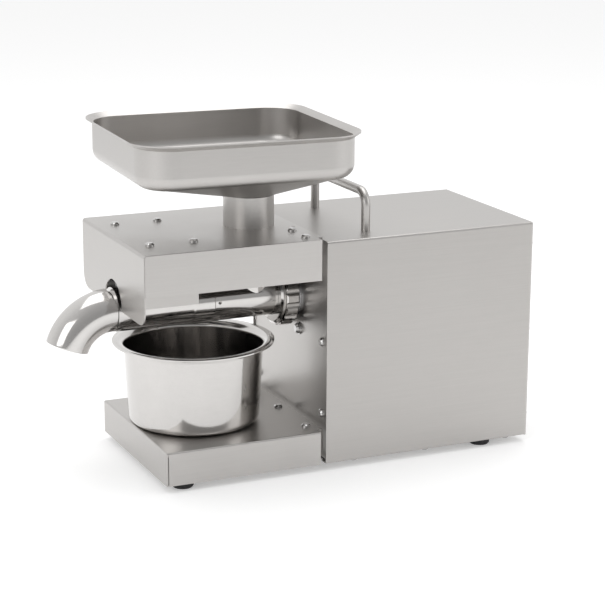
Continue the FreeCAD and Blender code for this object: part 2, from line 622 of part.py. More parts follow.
def rounded_rect(half_x, half_y, r, z):
    """Closed outline of eight edges, starting at the middle of a corner arc's end on +X."""
    c = math.cos(math.radians(45)) * r
    edges = []
    corners = [(1, 1), (-1, 1), (-1, -1), (1, -1)]
    for i, (sx, sy) in enumerate(corners):
        cx, cy = sx * (half_x - r), sy * (half_y - r)
        along_x = vec(cx + sx * r, cy, z)
        along_y = vec(cx, cy + sy * r, z)
        start, end = (along_x, along_y) if i % 2 == 0 else (along_y, along_x)
        edges.append(Part.Arc(start, vec(cx + sx * c, cy + sy * c, z), end).toShape())
        nx, ny = corners[(i + 1) % 4]
        ncx, ncy = nx * (half_x - r), ny * (half_y - r)
        next_start = vec(ncx, ncy + ny * r, z) if i % 2 == 0 else vec(ncx + nx * r, ncy, z)
        edges.append(Part.makeLine(end, next_start))
    return Part.Wire(edges)


def eight_arc_circle(r, x, y, z, half_x, half_y, corner_r):
    """Circle split where the rounded rectangle's outline is split, so that the two can be lofted."""
    marks = []
    for sx, sy in ((1, 1), (-1, 1), (-1, -1), (1, -1)):
        a = math.atan2(sy * (half_y - corner_r), sx * half_x)
        b = math.atan2(sy * half_y, sx * (half_x - corner_r))
        marks += [a, b] if sx * sy > 0 else [b, a]
    arcs = []
    for i, a in enumerate(marks):
        b = marks[(i + 1) % 8]
        while b <= a:
            b += 2 * math.pi
        m = (a + b) / 2
        arcs.append(Part.Arc(*[vec(x + r * math.cos(t), y + r * math.sin(t), z) for t in (a, m, b)]).toShape())
    return Part.Wire(arcs)


def pan_block(grow, floor_z, rim_z, throat_r, throat):
    """One skin of the pan: rounded tub with a soft lower edge, and a funnel lofted from its floor to a circle."""
    half_x = PAN_L / 2 - PAN_LIP + grow
    half_y = PAN_W / 2 - PAN_LIP + grow
    corner = PAN_CORNER_R + grow
    edge = PAN_EDGE_R + grow
    tub = Part.Face(rounded_rect(half_x, half_y, corner, floor_z)).extrude(vec(0, 0, rim_z - floor_z))
    tub = tub.makeFillet(edge, edges_at(tub, lambda e: e.BoundBox.ZMax < floor_z + 0.01))
    mouth = (half_x - edge, half_y - edge, corner - edge)
    funnel = Part.makeLoft([rounded_rect(*mouth, floor_z), eight_arc_circle(throat_r, *throat, *mouth)], True, True)
    return fuse([tub, funnel])


def hopper_pan():
    """Drawn sheet pan with a flared lip, its funnel floor and the spigot that stands in the feed neck."""
    turn = math.radians(PAN_TURN)
    offset = NECK_X - PAN_X
    neck_x = offset * math.cos(turn)
    neck_y = -offset * math.sin(turn)
    spigot_r = NECK_R - NECK_WALL - SLIP
    throat_z = NECK_TOP_Z + GAP
    outer = pan_block(0, PAN_FLOOR_Z, PAN_RIM_Z - 2.5, NECK_R, (neck_x, neck_y, throat_z))
    inner = pan_block(-PAN_T, PAN_FLOOR_Z + PAN_T, PAN_RIM_Z + 5, spigot_r - PAN_T,
                      (neck_x, neck_y, throat_z + PAN_T))
    lip_half = (PAN_L / 2 - PAN_LIP, PAN_W / 2 - PAN_LIP, PAN_CORNER_R)
    grown = (PAN_L / 2, PAN_W / 2, PAN_CORNER_R + PAN_LIP)
    flare = Part.makeLoft([rounded_rect(*lip_half, PAN_RIM_Z - 5), rounded_rect(*grown, PAN_RIM_Z - PAN_T)],
                          True, True)
    flare_in = Part.makeLoft([rounded_rect(*lip_half, PAN_RIM_Z - 5 + PAN_T),
                              rounded_rect(*grown, PAN_RIM_Z)], True, True)
    lip = Part.Face(rounded_rect(*grown, PAN_RIM_Z - PAN_T)).extrude(vec(0, 0, PAN_T))
    spigot = rod_z(spigot_r, neck_x, neck_y, throat_z - PAN_SPIGOT_L, throat_z + 1)
    bore = rod_z(spigot_r - PAN_T, neck_x, neck_y, throat_z - PAN_SPIGOT_L - 1, throat_z + PAN_T + 1)
    solid = fuse([outer, flare, lip, spigot]).cut(inner).cut(flare_in).cut(bore)
    solid.rotate(vec(0, 0, 0), Z_DIR, PAN_TURN)
    solid.translate(vec(PAN_X, 0, 0))
    return solid


def oil_bowl():
    z0 = TRAY_TOP_Z
    rim = z0 + BOWL_H
    corner = 7.0
    t = BOWL_T

    def skin(inset):
        slope = (BOWL_TOP_R - BOWL_BASE_R) / BOWL_H
        return [(BOWL_BASE_R - corner, z0 + inset), (BOWL_BASE_R - inset, z0 + corner),
                (BOWL_TOP_R - inset - slope * 6, rim - 6)]

    out, inn = skin(0), skin(t)
    mid = vec(BOWL_BASE_R - 0.3 * corner, 0, z0 + 0.3 * corner)
    mid_in = mid + vec(-0.7 * t, 0, 0.7 * t)
    points = [vec(r, 0, z) for r, z in out]
    inner = [vec(r, 0, z) for r, z in inn]
    edges = [
        Part.makeLine(vec(0, 0, z0), points[0]),
        Part.Arc(points[0], mid, points[1]).toShape(),
        Part.makeLine(points[1], points[2]),
        Part.Arc(points[2], vec(BOWL_TOP_R + 1.6, 0, rim - 2.4), vec(BOWL_RIM_R - 2, 0, rim - 1.2)).toShape(),
        Part.makeLine(vec(BOWL_RIM_R - 2, 0, rim - 1.2), vec(BOWL_RIM_R, 0, rim - 1.2)),
        Part.makeLine(vec(BOWL_RIM_R, 0, rim - 1.2), vec(BOWL_RIM_R, 0, rim)),
        Part.makeLine(vec(BOWL_RIM_R, 0, rim), vec(BOWL_RIM_R - 2.4, 0, rim)),
        Part.Arc(vec(BOWL_RIM_R - 2.4, 0, rim), vec(BOWL_TOP_R + 0.8, 0, rim - 1.4), inner[2]).toShape(),
        Part.makeLine(inner[2], inner[1]),
        Part.Arc(inner[1], mid_in, inner[0]).toShape(),
        Part.makeLine(inner[0], vec(0, 0, z0 + t)),
        Part.makeLine(vec(0, 0, z0 + t), vec(0, 0, z0))]
    solid = Part.Face(Part.Wire(edges)).revolve(vec(0, 0, 0), Z_DIR, 360)
    solid.translate(vec(BOWL_X, 0, 0))
    return solid


def carry_handle():
    half = HANDLE_SPAN / 2
    bend = HANDLE_BEND_R
    foot_z = HOUSING_TOP_Z - 16
    s = math.sin(math.radians(45)) * bend

    def at(y, z):
        return vec(HANDLE_X, y, z)

    top = HANDLE_TOP_Z
    path = Part.Wire([
        Part.makeLine(at(-half, foot_z), at(-half, top - bend)),
        Part.Arc(at(-half, top - bend), at(-half + bend - s, top - bend + s), at(-half + bend, top)).toShape(),
        Part.makeLine(at(-half + bend, top), at(half - bend, top)),
        Part.Arc(at(half - bend, top), at(half - bend + s, top - bend + s), at(half, top - bend)).toShape(),
        Part.makeLine(at(half, top - bend), at(half, foot_z))])
    circle = Part.Wire(Part.makeCircle(HANDLE_R, at(-half, foot_z), Z_DIR))
    return path.makePipeShell([circle], True, True)


def handle_nuts():
    def nut(y):
        top = HOUSING_TOP_Z - SHEET
        hexagon = [vec(HANDLE_X + 7.5 * math.cos(math.radians(60 * i)), y + 7.5 * math.sin(math.radians(60 * i)),
                       top - 6.5) for i in range(6)]
        return face(hexagon).extrude(vec(0, 0, 6.5)).cut(rod_z(HANDLE_R + FIT, HANDLE_X, y, top - 10, top + 1))
    return group([nut(y) for y in handle_legs()])


# ---- gearbox and motor -------------------------------------------------------------------------------------------
COARSE_X = (22.5, 32.5)
FINE_X = (34.0, 40.0)
CASE_TOP_R = 53.0
CASE_LOW_R = 40.0
CASE_LOW_Z = LAY_Z - 14.0
OUT_BEARING_R = 21.0
REAR_BEARING_R = 16.0
REAR_JOURNAL_R = 7.5
LAY_BEARING_R = 11.0
OUT_BEARING_X = (9.0, 21.0)
LAY_BEARING_X = (10.0, 15.5)
REAR_BEARING_X = (COVER_X + 0.2, COVER_X + COVER_T - 0.8)
CASE_BOLTS = [(sy * y, z) for sy in (-1, 1) for y, z in ((48.5, AXIS_Z + 12.0), (39.0, LAY_Z - 30.0))]


def gearbox_casing():
    outer = belt(CASE_TOP_R, CASE_LOW_R, AXIS_Z, CASE_LOW_Z, CASE_X, COVER_X)
    inner = belt(CASE_TOP_R - CASE_WALL, CASE_LOW_R - CASE_WALL, AXIS_Z, CASE_LOW_Z, CASE_X + CASE_FRONT_T,
                 COVER_X + 1)
    ears = [rod_x(6.5, CASE_X + 12, COVER_X, y, z) for y, z in CASE_BOLTS]
    boss = rod_x(OUT_BEARING_R + 5, CASE_X, OUT_BEARING_X[1])
    cuts = [rod_x(OUT_BEARING_R + FIT, OUT_BEARING_X[0], 60), rod_x(JOURNAL_R + 4, 0, 20),
            rod_x(LAY_BEARING_R + FIT, LAY_BEARING_X[0], 20, 0, LAY_Z)]
    cuts += [rod_x(2.4, 0, CASE_X + CASE_FRONT_T + 1, y, z) for y, z in GEARBOX_BOLTS]
    cuts += [rod_x(2.2, CASE_X + 20, 60, y, z) for y, z in CASE_BOLTS]
    gear_room = rod_x(COARSE_MODULE * (OUTPUT_TEETH / 2 + 0.8) + 1.5, OUT_BEARING_X[1] + 0.5, COVER_X + 1)
    return fuse([outer.cut(inner), boss] + ears).cut(fuse(cuts)).cut(gear_room)


def gearbox_cover():
    plate = belt(CASE_TOP_R, CASE_LOW_R, AXIS_Z, CASE_LOW_Z, COVER_X, MOTOR_X)
    ears = [rod_x(6.5, COVER_X, MOTOR_X, y, z) for y, z in CASE_BOLTS]
    cuts = [rod_x(REAR_BEARING_R + FIT, COVER_X - 1, REAR_BEARING_X[1]),
            rod_x(LAY_BEARING_R + FIT, COVER_X - 1, REAR_BEARING_X[1], 0, LAY_Z),
            rod_x(12.0, COVER_X - 1, MOTOR_X + 1, 0, MOTOR_Z)]
    cuts += [rod_x(2.2, COVER_X - 1, MOTOR_X + 1, y, z) for y, z in CASE_BOLTS]
    return fuse([plate] + ears).cut(fuse(cuts))


def gearbox_cover_screws():
    return group([pan_screw((MOTOR_X, y, z), (-1, 0, 0), 16.0) for y, z in CASE_BOLTS])


def bearing(r_out, r_in, x0, x1, z):
    """Sealed bearing: the shield sits a little below the faces of the two rings."""
    ring = (r_out - r_in) * 0.28
    dip = 0.4
    return turned_x([(x0, r_in), (x0, r_in + ring), (x0 + dip, r_in + ring), (x0 + dip, r_out - ring),
                     (x0, r_out - ring), (x0, r_out), (x1, r_out), (x1, r_out - ring), (x1 - dip, r_out - ring),
                     (x1 - dip, r_in + ring), (x1, r_in + ring), (x1, r_in)], z)


def output_bearings():
    return group([bearing(OUT_BEARING_R, JOURNAL_R + FIT, *OUT_BEARING_X, AXIS_Z),
                  bearing(REAR_BEARING_R, REAR_JOURNAL_R + FIT, *REAR_BEARING_X, AXIS_Z)])


def layshaft_bearings():
    return group([bearing(LAY_BEARING_R, LAY_SHAFT_R + FIT, *LAY_BEARING_X, LAY_Z),
                  bearing(LAY_BEARING_R, LAY_SHAFT_R + FIT, *REAR_BEARING_X, LAY_Z)])


def output_shaft():
    hub_end = COARSE_X[1]
    solid = turned_x([(JOURNAL_END_X + GAP, 0), (JOURNAL_END_X + GAP, JOURNAL_R), (hub_end, JOURNAL_R),
                      (hub_end, REAR_JOURNAL_R), (REAR_BEARING_X[1] - 0.3, REAR_JOURNAL_R),
                      (REAR_BEARING_X[1] - 0.3, 0)])
    return solid.cut(hexagon_x(HEX_AF + 2 * FIT, JOURNAL_END_X - 1, TANG_END_X + 1))


def output_gear():
    return gear(OUTPUT_TEETH, COARSE_MODULE, JOURNAL_R + FIT, *COARSE_X, AXIS_Z, -90)


def layshaft():
    """Middle shaft with its pinion cut in one piece; the pinion has a space facing up."""
    gap_up = 90 + 180 / LAY_PINION_TEETH
    shaft = rod_x(LAY_SHAFT_R, LAY_BEARING_X[0] + 0.5, REAR_BEARING_X[1] - 0.3, 0, LAY_Z)
    pinion = gear(LAY_PINION_TEETH, COARSE_MODULE, LAY_SHAFT_R - 1, COARSE_X[0] - 0.5, COARSE_X[1] + 0.5, LAY_Z, gap_up)
    return fuse([shaft, pinion])


def layshaft_gear():
    return gear(LAY_GEAR_TEETH, FINE_MODULE, LAY_SHAFT_R + FIT, *FINE_X, LAY_Z, -90)


def motor_pinion():
    gap_up = 90 + 180 / MOTOR_PINION_TEETH
    return gear(MOTOR_PINION_TEETH, FINE_MODULE, MOTOR_SHAFT_R + FIT, FINE_X[0] - 0.5, COVER_X + 1, MOTOR_Z, gap_up)


def motor_can():
    end = MOTOR_END_X
    solid = turned_x([(MOTOR_X, MOTOR_SHAFT_R + FIT), (MOTOR_X, MOTOR_R - 1.5), (MOTOR_X + 1.5, MOTOR_R),
                      (end, MOTOR_R), (end, MOTOR_R - MOTOR_WALL), (MOTOR_X + 4, MOTOR_R - MOTOR_WALL),
                      (MOTOR_X + 4, 11), (MOTOR_X + 9, 11), (MOTOR_X + 9, MOTOR_SHAFT_R + FIT)], MOTOR_Z)
    vents = [box(MOTOR_X + 14, MOTOR_X + 22, -50, 50, MOTOR_Z - 4, MOTOR_Z + 4)]
    return solid.cut(fuse(vents))


def motor_end_cap():
    x0 = MOTOR_END_X
    solid = turned_x([(x0, MOTOR_SHAFT_R + FIT), (x0, 12), (x0 + 2.5, 12), (x0 + 2.5, MOTOR_R - 3), (x0, MOTOR_R - 3),
                      (x0, MOTOR_R), (x0 + 4, MOTOR_R), (x0 + 6, MOTOR_R - 2), (x0 + 6, MOTOR_SHAFT_R + FIT)], MOTOR_Z)
    vents = []
    for i in range(6):
        a = 2 * math.pi * i / 6
        vents.append(rod_x(5.0, x0 - 1, x0 + 8, 22 * math.cos(a), MOTOR_Z + 22 * math.sin(a)))
    return solid.cut(group(vents))


def motor_magnets():
    outer = MOTOR_R - MOTOR_WALL - FIT
    ring = ring_x(outer, outer - 5.2, ROTOR_X[0] - 2, ROTOR_X[1] + 2, 0, MOTOR_Z)
    half_gap = box(0, 200, -8, 8, MOTOR_Z - 50, MOTOR_Z + 50)
    return group(ring.cut(half_gap).Solids)


ROTOR_X = (MOTOR_X + 18.0, MOTOR_X + 58.0)


def rotor_core():
    outer = MOTOR_R - MOTOR_WALL - FIT - 5.2 - 0.8
    core = ring_x(outer, MOTOR_SHAFT_R + FIT, *ROTOR_X, 0, MOTOR_Z)
    slots = []
    for i in range(10):
        slot = box(ROTOR_X[0] - 1, ROTOR_X[1] + 1, -1.2, 1.2, MOTOR_Z + outer - 7, MOTOR_Z + outer + 2)
        slot.rotate(vec(0, 0, MOTOR_Z), X_DIR, 36 * i)
        slots.append(slot)
    return core.cut(group(slots))


def commutator():
    return ring_x(10.0, MOTOR_SHAFT_R + FIT, ROTOR_X[1] + 5, ROTOR_X[1] + 18, 0, MOTOR_Z)


def motor_shaft():
    return rod_x(MOTOR_SHAFT_R, FINE_X[0] - 0.5, MOTOR_END_X + 20, 0, MOTOR_Z)


def brush_holders():
    x = ROTOR_X[1] + 11.5
    reach = MOTOR_R - MOTOR_WALL - GAP
    return group([box(x - 4, x + 4, *sorted((side * 10.4, side * reach)), MOTOR_Z - 4, MOTOR_Z + 4)
                  for side in (-1, 1)])


def cooling_fan():
    x0 = MOTOR_END_X + 8
    hub = ring_x(9.0, MOTOR_SHAFT_R + FIT, x0, x0 + 11, 0, MOTOR_Z)
    blades = []
    for i in range(7):
        blade = box(x0 + 4.9, x0 + 6.1, -5, 5, MOTOR_Z + 7, MOTOR_Z + 32)
        blade.rotate(vec(x0 + 5.5, 0, MOTOR_Z), Z_DIR, 40)
        blade.rotate(vec(0, 0, MOTOR_Z), X_DIR, 360 * i / 7)
        blades.append(blade)
    return fuse([hub] + blades)


def motor_saddle():
    x0, x1 = MOTOR_END_X - 30, MOTOR_END_X - 26
    upright = box(x0, x1, -34, 34, PLATE_TOP_Z, MOTOR_Z - 8).cut(rod_x(MOTOR_R + GAP, x0 - 1, x1 + 1, 0, MOTOR_Z))
    foot = box(x0, x0 + 24, -34, 34, PLATE_TOP_Z, PLATE_TOP_Z + 3)
    return fuse([upright, foot])


# ---- electrics ---------------------------------------------------------------------------------------------------
BOARD_Y = 54.0
BOARD_X = (84.0, 176.0)
BOARD_Z = (34.0, 104.0)


def board_bracket():
    upright = box(BOARD_X[0] + 6, BOARD_X[1] - 6, BOARD_Y + 5, BOARD_Y + 6.2, PLATE_TOP_Z, BOARD_Z[1] - 8)
    foot = box(BOARD_X[0] + 6, BOARD_X[1] - 6, BOARD_Y - 6, BOARD_Y + 6.2, PLATE_TOP_Z, PLATE_TOP_Z + 1.2)
    posts = [Part.makeCylinder(2.5, 3.6, vec(x, BOARD_Y + 1.6, z), Y_DIR)
             for x in (BOARD_X[0] + 12, BOARD_X[1] - 12) for z in (BOARD_Z[0] + 6, BOARD_Z[1] - 14)]
    return fuse([upright, foot] + posts)


def control_board():
    x0, x1 = BOARD_X
    z0, z1 = BOARD_Z
    board = box(x0, x1, BOARD_Y, BOARD_Y + 1.6, z0, z1)
    parts = [box(x0 + 6, x0 + 34, BOARD_Y - 14, BOARD_Y, z0 + 8, z0 + 32),
             box(x0 + 40, x0 + 55, BOARD_Y - 10, BOARD_Y, z0 + 36, z0 + 56),
             box(x0 + 60, x0 + 75, BOARD_Y - 10, BOARD_Y, z0 + 36, z0 + 56),
             Part.makeCylinder(8, 16, vec(x0 + 18, BOARD_Y - 16, z0 + 48), Y_DIR),
             Part.makeCylinder(5, 12, vec(x0 + 66, BOARD_Y - 12, z0 + 16), Y_DIR)]
    return fuse([board] + parts)


def power_inlet():
    """Three-pin appliance inlet set in the rear panel, open towards the rear."""
    y, z = SWITCH_Y, INLET_Z
    flange = box(HOUSING_L, HOUSING_L + 2, y - INLET_HALF_W - 4, y + INLET_HALF_W + 4, z - INLET_HALF_H - 4,
                 z + INLET_HALF_H + 4)
    w, h = INLET_HALF_W - GAP, INLET_HALF_H - GAP
    body = box(REAR_X - 20, HOUSING_L + 1, y - w, y + w, z - h, z + h)
    recess = box(REAR_X - 16, HOUSING_L + 3, y - w + 2, y + w - 2, z - h + 2, z + h - 2)
    pins = [box(REAR_X - 17, HOUSING_L - 2, y + dy - 1, y + dy + 1, z + dz - 2, z + dz + 2)
            for dy, dz in ((-7, -2), (0, 2.5), (7, -2))]
    return fuse([fuse([flange, body]).cut(recess)] + pins)


ROCKER_HALF_W = 5.0
ROCKER_HALF_H = 9.0
ROCKER_PIVOT_X = HOUSING_L - 1.0


def switch_frame(z):
    bezel = box(HOUSING_L, HOUSING_L + 2, SWITCH_Y - SWITCH_HALF_W - 2, SWITCH_Y + SWITCH_HALF_W + 2,
                z - SWITCH_HALF_H - 2, z + SWITCH_HALF_H + 2)
    bezel = bezel.makeFillet(0.8, edges_at(bezel, lambda e: e.CenterOfMass.x > HOUSING_L + 1.9))
    body = box(REAR_X - 16, HOUSING_L + 1, SWITCH_Y - SWITCH_HALF_W + GAP, SWITCH_Y + SWITCH_HALF_W - GAP,
               z - SWITCH_HALF_H + GAP, z + SWITCH_HALF_H - GAP)
    well = box(HOUSING_L - 9, HOUSING_L + 3, SWITCH_Y - ROCKER_HALF_W - GAP, SWITCH_Y + ROCKER_HALF_W + GAP,
               z - ROCKER_HALF_H - 1, z + ROCKER_HALF_H + 1)
    pivot = Part.makeCylinder(1.2, 2 * (ROCKER_HALF_W + 1), vec(ROCKER_PIVOT_X, SWITCH_Y - ROCKER_HALF_W - 1, z),
                              Y_DIR)
    return fuse([fuse([bezel, body]).cut(well), pivot])


def rocker(z, tilt):
    """Button with two shallow faces, turned about its pivot pin to the resting tilt."""
    x = ROCKER_PIVOT_X
    h = ROCKER_HALF_H
    outline = [vec(x - 3, 0, z - h + 2), vec(x + 3.0, 0, z - h), vec(x + 4.4, 0, z - h + 0.4), vec(x + 3.0, 0, z),
               vec(x + 4.4, 0, z + h - 0.4), vec(x + 3.0, 0, z + h), vec(x - 3, 0, z + h - 2)]
    solid = face([p + vec(0, SWITCH_Y - ROCKER_HALF_W, 0) for p in outline]).extrude(vec(0, 2 * ROCKER_HALF_W, 0))
    solid = solid.cut(Part.makeCylinder(1.2 + FIT, 40, vec(x, SWITCH_Y - 20, z), Y_DIR))
    solid.rotate(vec(x, 0, z), Y_DIR, tilt)
    return solid


# ---- fasteners ---------------------------------------------------------------------------------------------------
def top_screws(places, z, length):
    return group([pan_screw((x, y, z), (0, 0, -1), length) for x, y in places])


def face_screws(places, x, length):
    return group([pan_screw((x, y, z), (1, 0, 0), length) for y, z in places])


def gearbox_screws():
    def screw(y, z):
        washer = ring_x(5.5, 2.4, PANEL_X - 1, PANEL_X, y, z)
        return washer.fuse(pan_screw((PANEL_X - 1, y, z), (1, 0, 0), 14.0, 4.6, 3.0, 2.35)).removeSplitter()
    return group([screw(y, z) for y, z in GEARBOX_BOLTS])


def cover_fixings():
    """The screws that hold the housing cover: through the rear panel, and up through the base plate."""
    rear = [pan_screw((HOUSING_L, y, z), (-1, 0, 0), 6.0) for y, z in rear_screw_places()]
    return group(rear + [pan_screw((x, y, FOOT_H), (0, 0, 1), 5.0) for x, y in base_screw_places()])


# ---- assembly ----------------------------------------------------------------------------------------------------
PARTS = {
    "housing_cover": housing_cover,
    "front_panel": front_panel,
    "rear_panel": rear_panel,
    "base_plate": base_plate,
    "feet": feet,
    "foot_screws": foot_screws,
    "base_tray": base_tray,
    "tray_bracket": tray_bracket,
    "hood_bracket": hood_bracket,
    "hood_shell": hood_shell,
    "hood_near_skirt": lambda: hood_skirt(-1),
    "hood_far_skirt": lambda: hood_skirt(1),
    "heater_cradle": heater_cradle,
    "heater_block": heater_block,
    "heater_rods": heater_rods,
    "thermostat": thermostat,
    "press_barrel": press_barrel,
    "cake_nozzle": cake_nozzle,
    "press_screw": press_screw,
    "lock_nut": lock_nut,
    "barrel_socket": barrel_socket,
    "residue_spout": residue_spout,
    "feed_neck": feed_neck,
    "hopper_pan": hopper_pan,
    "oil_bowl": oil_bowl,
    "carry_handle": carry_handle,
    "handle_nuts": handle_nuts,
    "gearbox_casing": gearbox_casing,
    "gearbox_cover": gearbox_cover,
    "gearbox_cover_screws": gearbox_cover_screws,
    "output_bearings": output_bearings,
    "layshaft_bearings": layshaft_bearings,
    "output_shaft": output_shaft,
    "output_gear": output_gear,
    "layshaft": layshaft,
    "layshaft_gear": layshaft_gear,
    "motor_pinion": motor_pinion,
    "motor_can": motor_can,
    "motor_end_cap": motor_end_cap,
    "motor_magnets": motor_magnets,
    "rotor_core": rotor_core,
    "commutator": commutator,
    "motor_shaft": motor_shaft,
    "brush_holders": brush_holders,
    "cooling_fan": cooling_fan,
    "motor_saddle": motor_saddle,
    "board_bracket": board_bracket,
    "control_board": control_board,
    "power_inlet": power_inlet,
    "power_switch_frame": lambda: switch_frame(SWITCHES[0]),
    "power_rocker": lambda: rocker(SWITCHES[0], -SWITCH_TILT),
    "direction_switch_frame": lambda: switch_frame(SWITCHES[1]),
    "direction_rocker": lambda: rocker(SWITCHES[1], 0.0),
    "hood_screws": lambda: top_screws(HOOD_SCREWS, HOOD_TOP_Z, 5.0),
    "cradle_screws": lambda: top_screws(CRADLE_SCREWS, HOOD_TOP_Z, 6.0),
    "tray_screws": lambda: top_screws(TRAY_SCREWS, TRAY_TOP_Z, 6.0),
    "panel_screws": lambda: face_screws(PANEL_SCREWS, PANEL_X, 6.0),
    "bracket_screws": lambda: face_screws(BRACKET_SCREWS, 0.0, 7.0),
    "gearbox_screws": gearbox_screws,
    "housing_screws": cover_fixings,
}


def main():
    os.makedirs("parts", exist_ok=True)
    for name, build in PARTS.items():
        shape = build()
        shape.translate(vec(X_SHIFT, 0, 0))
        solids = shape.Solids
        if not shape.isValid() or not solids:
            raise ValueError(name + " isn't a valid solid")
        shape = solids[0] if len(solids) == 1 else group(solids)
        shape.exportStep("parts/" + name + ".step")
        b = shape.BoundBox
        print("%-24s %2d solids %9.0f mm3  x %.1f %.1f  y %.1f %.1f  z %.1f %.1f"
              % (name, len(solids), shape.Volume, b.XMin, b.XMax, b.YMin, b.YMax, b.ZMin, b.ZMax))


main()
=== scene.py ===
"""Screw oil press: finishes, folded sheet and spout, plain studio and camera.

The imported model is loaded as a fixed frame, and each of its nodes is dressed by material slot. The pieces
made here are modelled in metres at their place in that frame, end with their object at the origin, and ride
on the body that carries them.
"""
import json
import logging
import math
from contextlib import contextmanager
from dataclasses import dataclass
from enum import Enum
from typing import Callable, Iterator, Sequence

import bmesh
import bpy
from mathutils import Matrix, Vector


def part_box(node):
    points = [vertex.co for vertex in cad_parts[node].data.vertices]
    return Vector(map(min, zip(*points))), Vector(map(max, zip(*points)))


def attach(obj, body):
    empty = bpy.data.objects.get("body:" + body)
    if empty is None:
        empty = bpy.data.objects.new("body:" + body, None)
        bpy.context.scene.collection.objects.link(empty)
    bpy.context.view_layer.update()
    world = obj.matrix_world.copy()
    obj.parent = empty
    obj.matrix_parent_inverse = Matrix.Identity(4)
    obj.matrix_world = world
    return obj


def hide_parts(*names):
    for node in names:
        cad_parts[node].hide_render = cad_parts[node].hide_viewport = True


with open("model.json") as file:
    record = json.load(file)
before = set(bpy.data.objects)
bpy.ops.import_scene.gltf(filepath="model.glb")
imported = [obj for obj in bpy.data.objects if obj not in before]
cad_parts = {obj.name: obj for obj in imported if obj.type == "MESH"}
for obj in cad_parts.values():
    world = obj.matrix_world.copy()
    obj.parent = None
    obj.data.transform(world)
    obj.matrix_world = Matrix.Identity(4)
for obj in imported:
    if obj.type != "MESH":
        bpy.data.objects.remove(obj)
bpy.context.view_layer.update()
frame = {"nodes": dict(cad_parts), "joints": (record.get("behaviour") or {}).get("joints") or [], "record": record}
MM = 0.001
EDGE_BREAK = 0.25 * MM
FACING = 0.5                    # least part of a normal along an axis for a face to count as facing that way
ROUND_STEPS = 96
LOG = logging.getLogger("oil_press")
Point = tuple[float, float, float]
EdgeTest = Callable[[bmesh.types.BMEdge], bool]
FaceTest = Callable[[bmesh.types.BMFace], bool]


# ---- workbench: bpy.ops with a clean selection -----------------------------------------------------------
def clear_selection() -> None:
    """Leave nothing selected, because an operator acts on all that is."""
    bpy.ops.object.select_all(action="DESELECT")
    bpy.context.view_layer.objects.active = None


def take_hold(piece: bpy.types.Object) -> None:
    """Make one piece the only selected and active object.

    Args:
        piece: the object to select.
    """
    clear_selection()
    piece.select_set(True)
    bpy.context.view_layer.objects.active = piece


@contextmanager
def editing(piece: bpy.types.Object, select: str = "EDGE") -> Iterator[bpy.types.Object]:
    """Open a piece in edit mode with nothing selected, and close it again.

    Args:
        piece: the mesh object to shape.
        select: which elements are picked, VERT, EDGE or FACE.
    """
    take_hold(piece)
    bpy.ops.object.mode_set(mode="EDIT")
    bpy.ops.mesh.select_mode(type=select)
    bpy.ops.mesh.select_all(action="DESELECT")
    try:
        yield piece
    finally:
        bpy.ops.object.mode_set(mode="OBJECT")


def pick_edges(piece: bpy.types.Object, test: EdgeTest) -> int:
    """Select the edges that pass a test, in edit mode.

    Args:
        piece: the object being edited.
        test: says whether an edge is wanted.

    Returns:
        How many edges are selected.
    """
    bpy.ops.mesh.select_mode(type="EDGE")
    mesh = bmesh.from_edit_mesh(piece.data)
    for edge in mesh.edges:
        edge.select_set(test(edge))
    bmesh.update_edit_mesh(piece.data)
    return sum(edge.select for edge in mesh.edges)


def pick_faces(piece: bpy.types.Object, test: FaceTest) -> int:
    """Select the faces that pass a test, in edit mode.

    Args:
        piece: the object being edited.
        test: says whether a face is wanted.

    Returns:
        How many faces are selected.
    """
    bpy.ops.mesh.select_mode(type="FACE")
    mesh = bmesh.from_edit_mesh(piece.data)
    for face in mesh.faces:
        face.select_set(test(face))
    bmesh.update_edit_mesh(piece.data)
    return sum(face.select for face in mesh.faces)


def middle(edge: bmesh.types.BMEdge) -> Vector:
    """Middle point of an edge."""
    return (edge.verts[0].co + edge.verts[1].co) / 2


def runs_along(edge: bmesh.types.BMEdge, axis: int) -> bool:
    """Whether an edge is straight along one of the three axes."""
    run = edge.verts[1].co - edge.verts[0].co
    return abs(run[axis]) > 0.999 * run.length


def settle(piece: bpy.types.Object) -> None:
    """Put the piece's place into its mesh, so that its object is at the origin, unturned and unscaled."""
    take_hold(piece)
    bpy.ops.object.transform_apply(location=True, rotation=True, scale=True)


def block(name: str, low: Sequence[float], high: Sequence[float]) -> bpy.types.Object:
    """Cube primitive added at its size and place.

    Args:
        name: the new piece's name.
        low: its lowest corner.
        high: its highest corner.

    Returns:
        The new object, settled at the origin.
    """
    clear_selection()
    low, high = Vector(low), Vector(high)
    bpy.ops.mesh.primitive_cube_add(size=1.0, location=(low + high) / 2, scale=high - low)
    piece = bpy.context.active_object
    piece.name = name
    settle(piece)
    return piece


def bevel(piece: bpy.types.Object, test: EdgeTest, width: float, segments: int = 4) -> None:
    """Round the edges that pass a test.

    Args:
        piece: the object to shape.
        test: says which edges.
        width: radius of the rounding.
        segments: how many faces go round it.
    """
    with editing(piece):
        if pick_edges(piece, test):
            bpy.ops.mesh.bevel(offset=width, offset_type="OFFSET", segments=segments, profile=0.5,
                               affect="EDGES", clamp_overlap=True)


def remove_faces(piece: bpy.types.Object, test: FaceTest) -> None:
    """Open a shell by deleting the faces that pass a test.

    Args:
        piece: the object to shape.
        test: says which faces.
    """
    with editing(piece, "FACE"):
        if pick_faces(piece, test):
            bpy.ops.mesh.delete(type="FACE")


def apply_modifier(piece: bpy.types.Object, kind: str, **settings: object) -> None:
    """Add a modifier with its settings and apply it.

    Args:
        piece: the object to change.
        kind: the modifier's type.
        settings: its properties by name.
    """
    take_hold(piece)
    modifier = piece.modifiers.new(kind.lower(), kind)
    for name, value in settings.items():
        setattr(modifier, name, value)
    bpy.ops.object.modifier_apply(modifier=modifier.name)


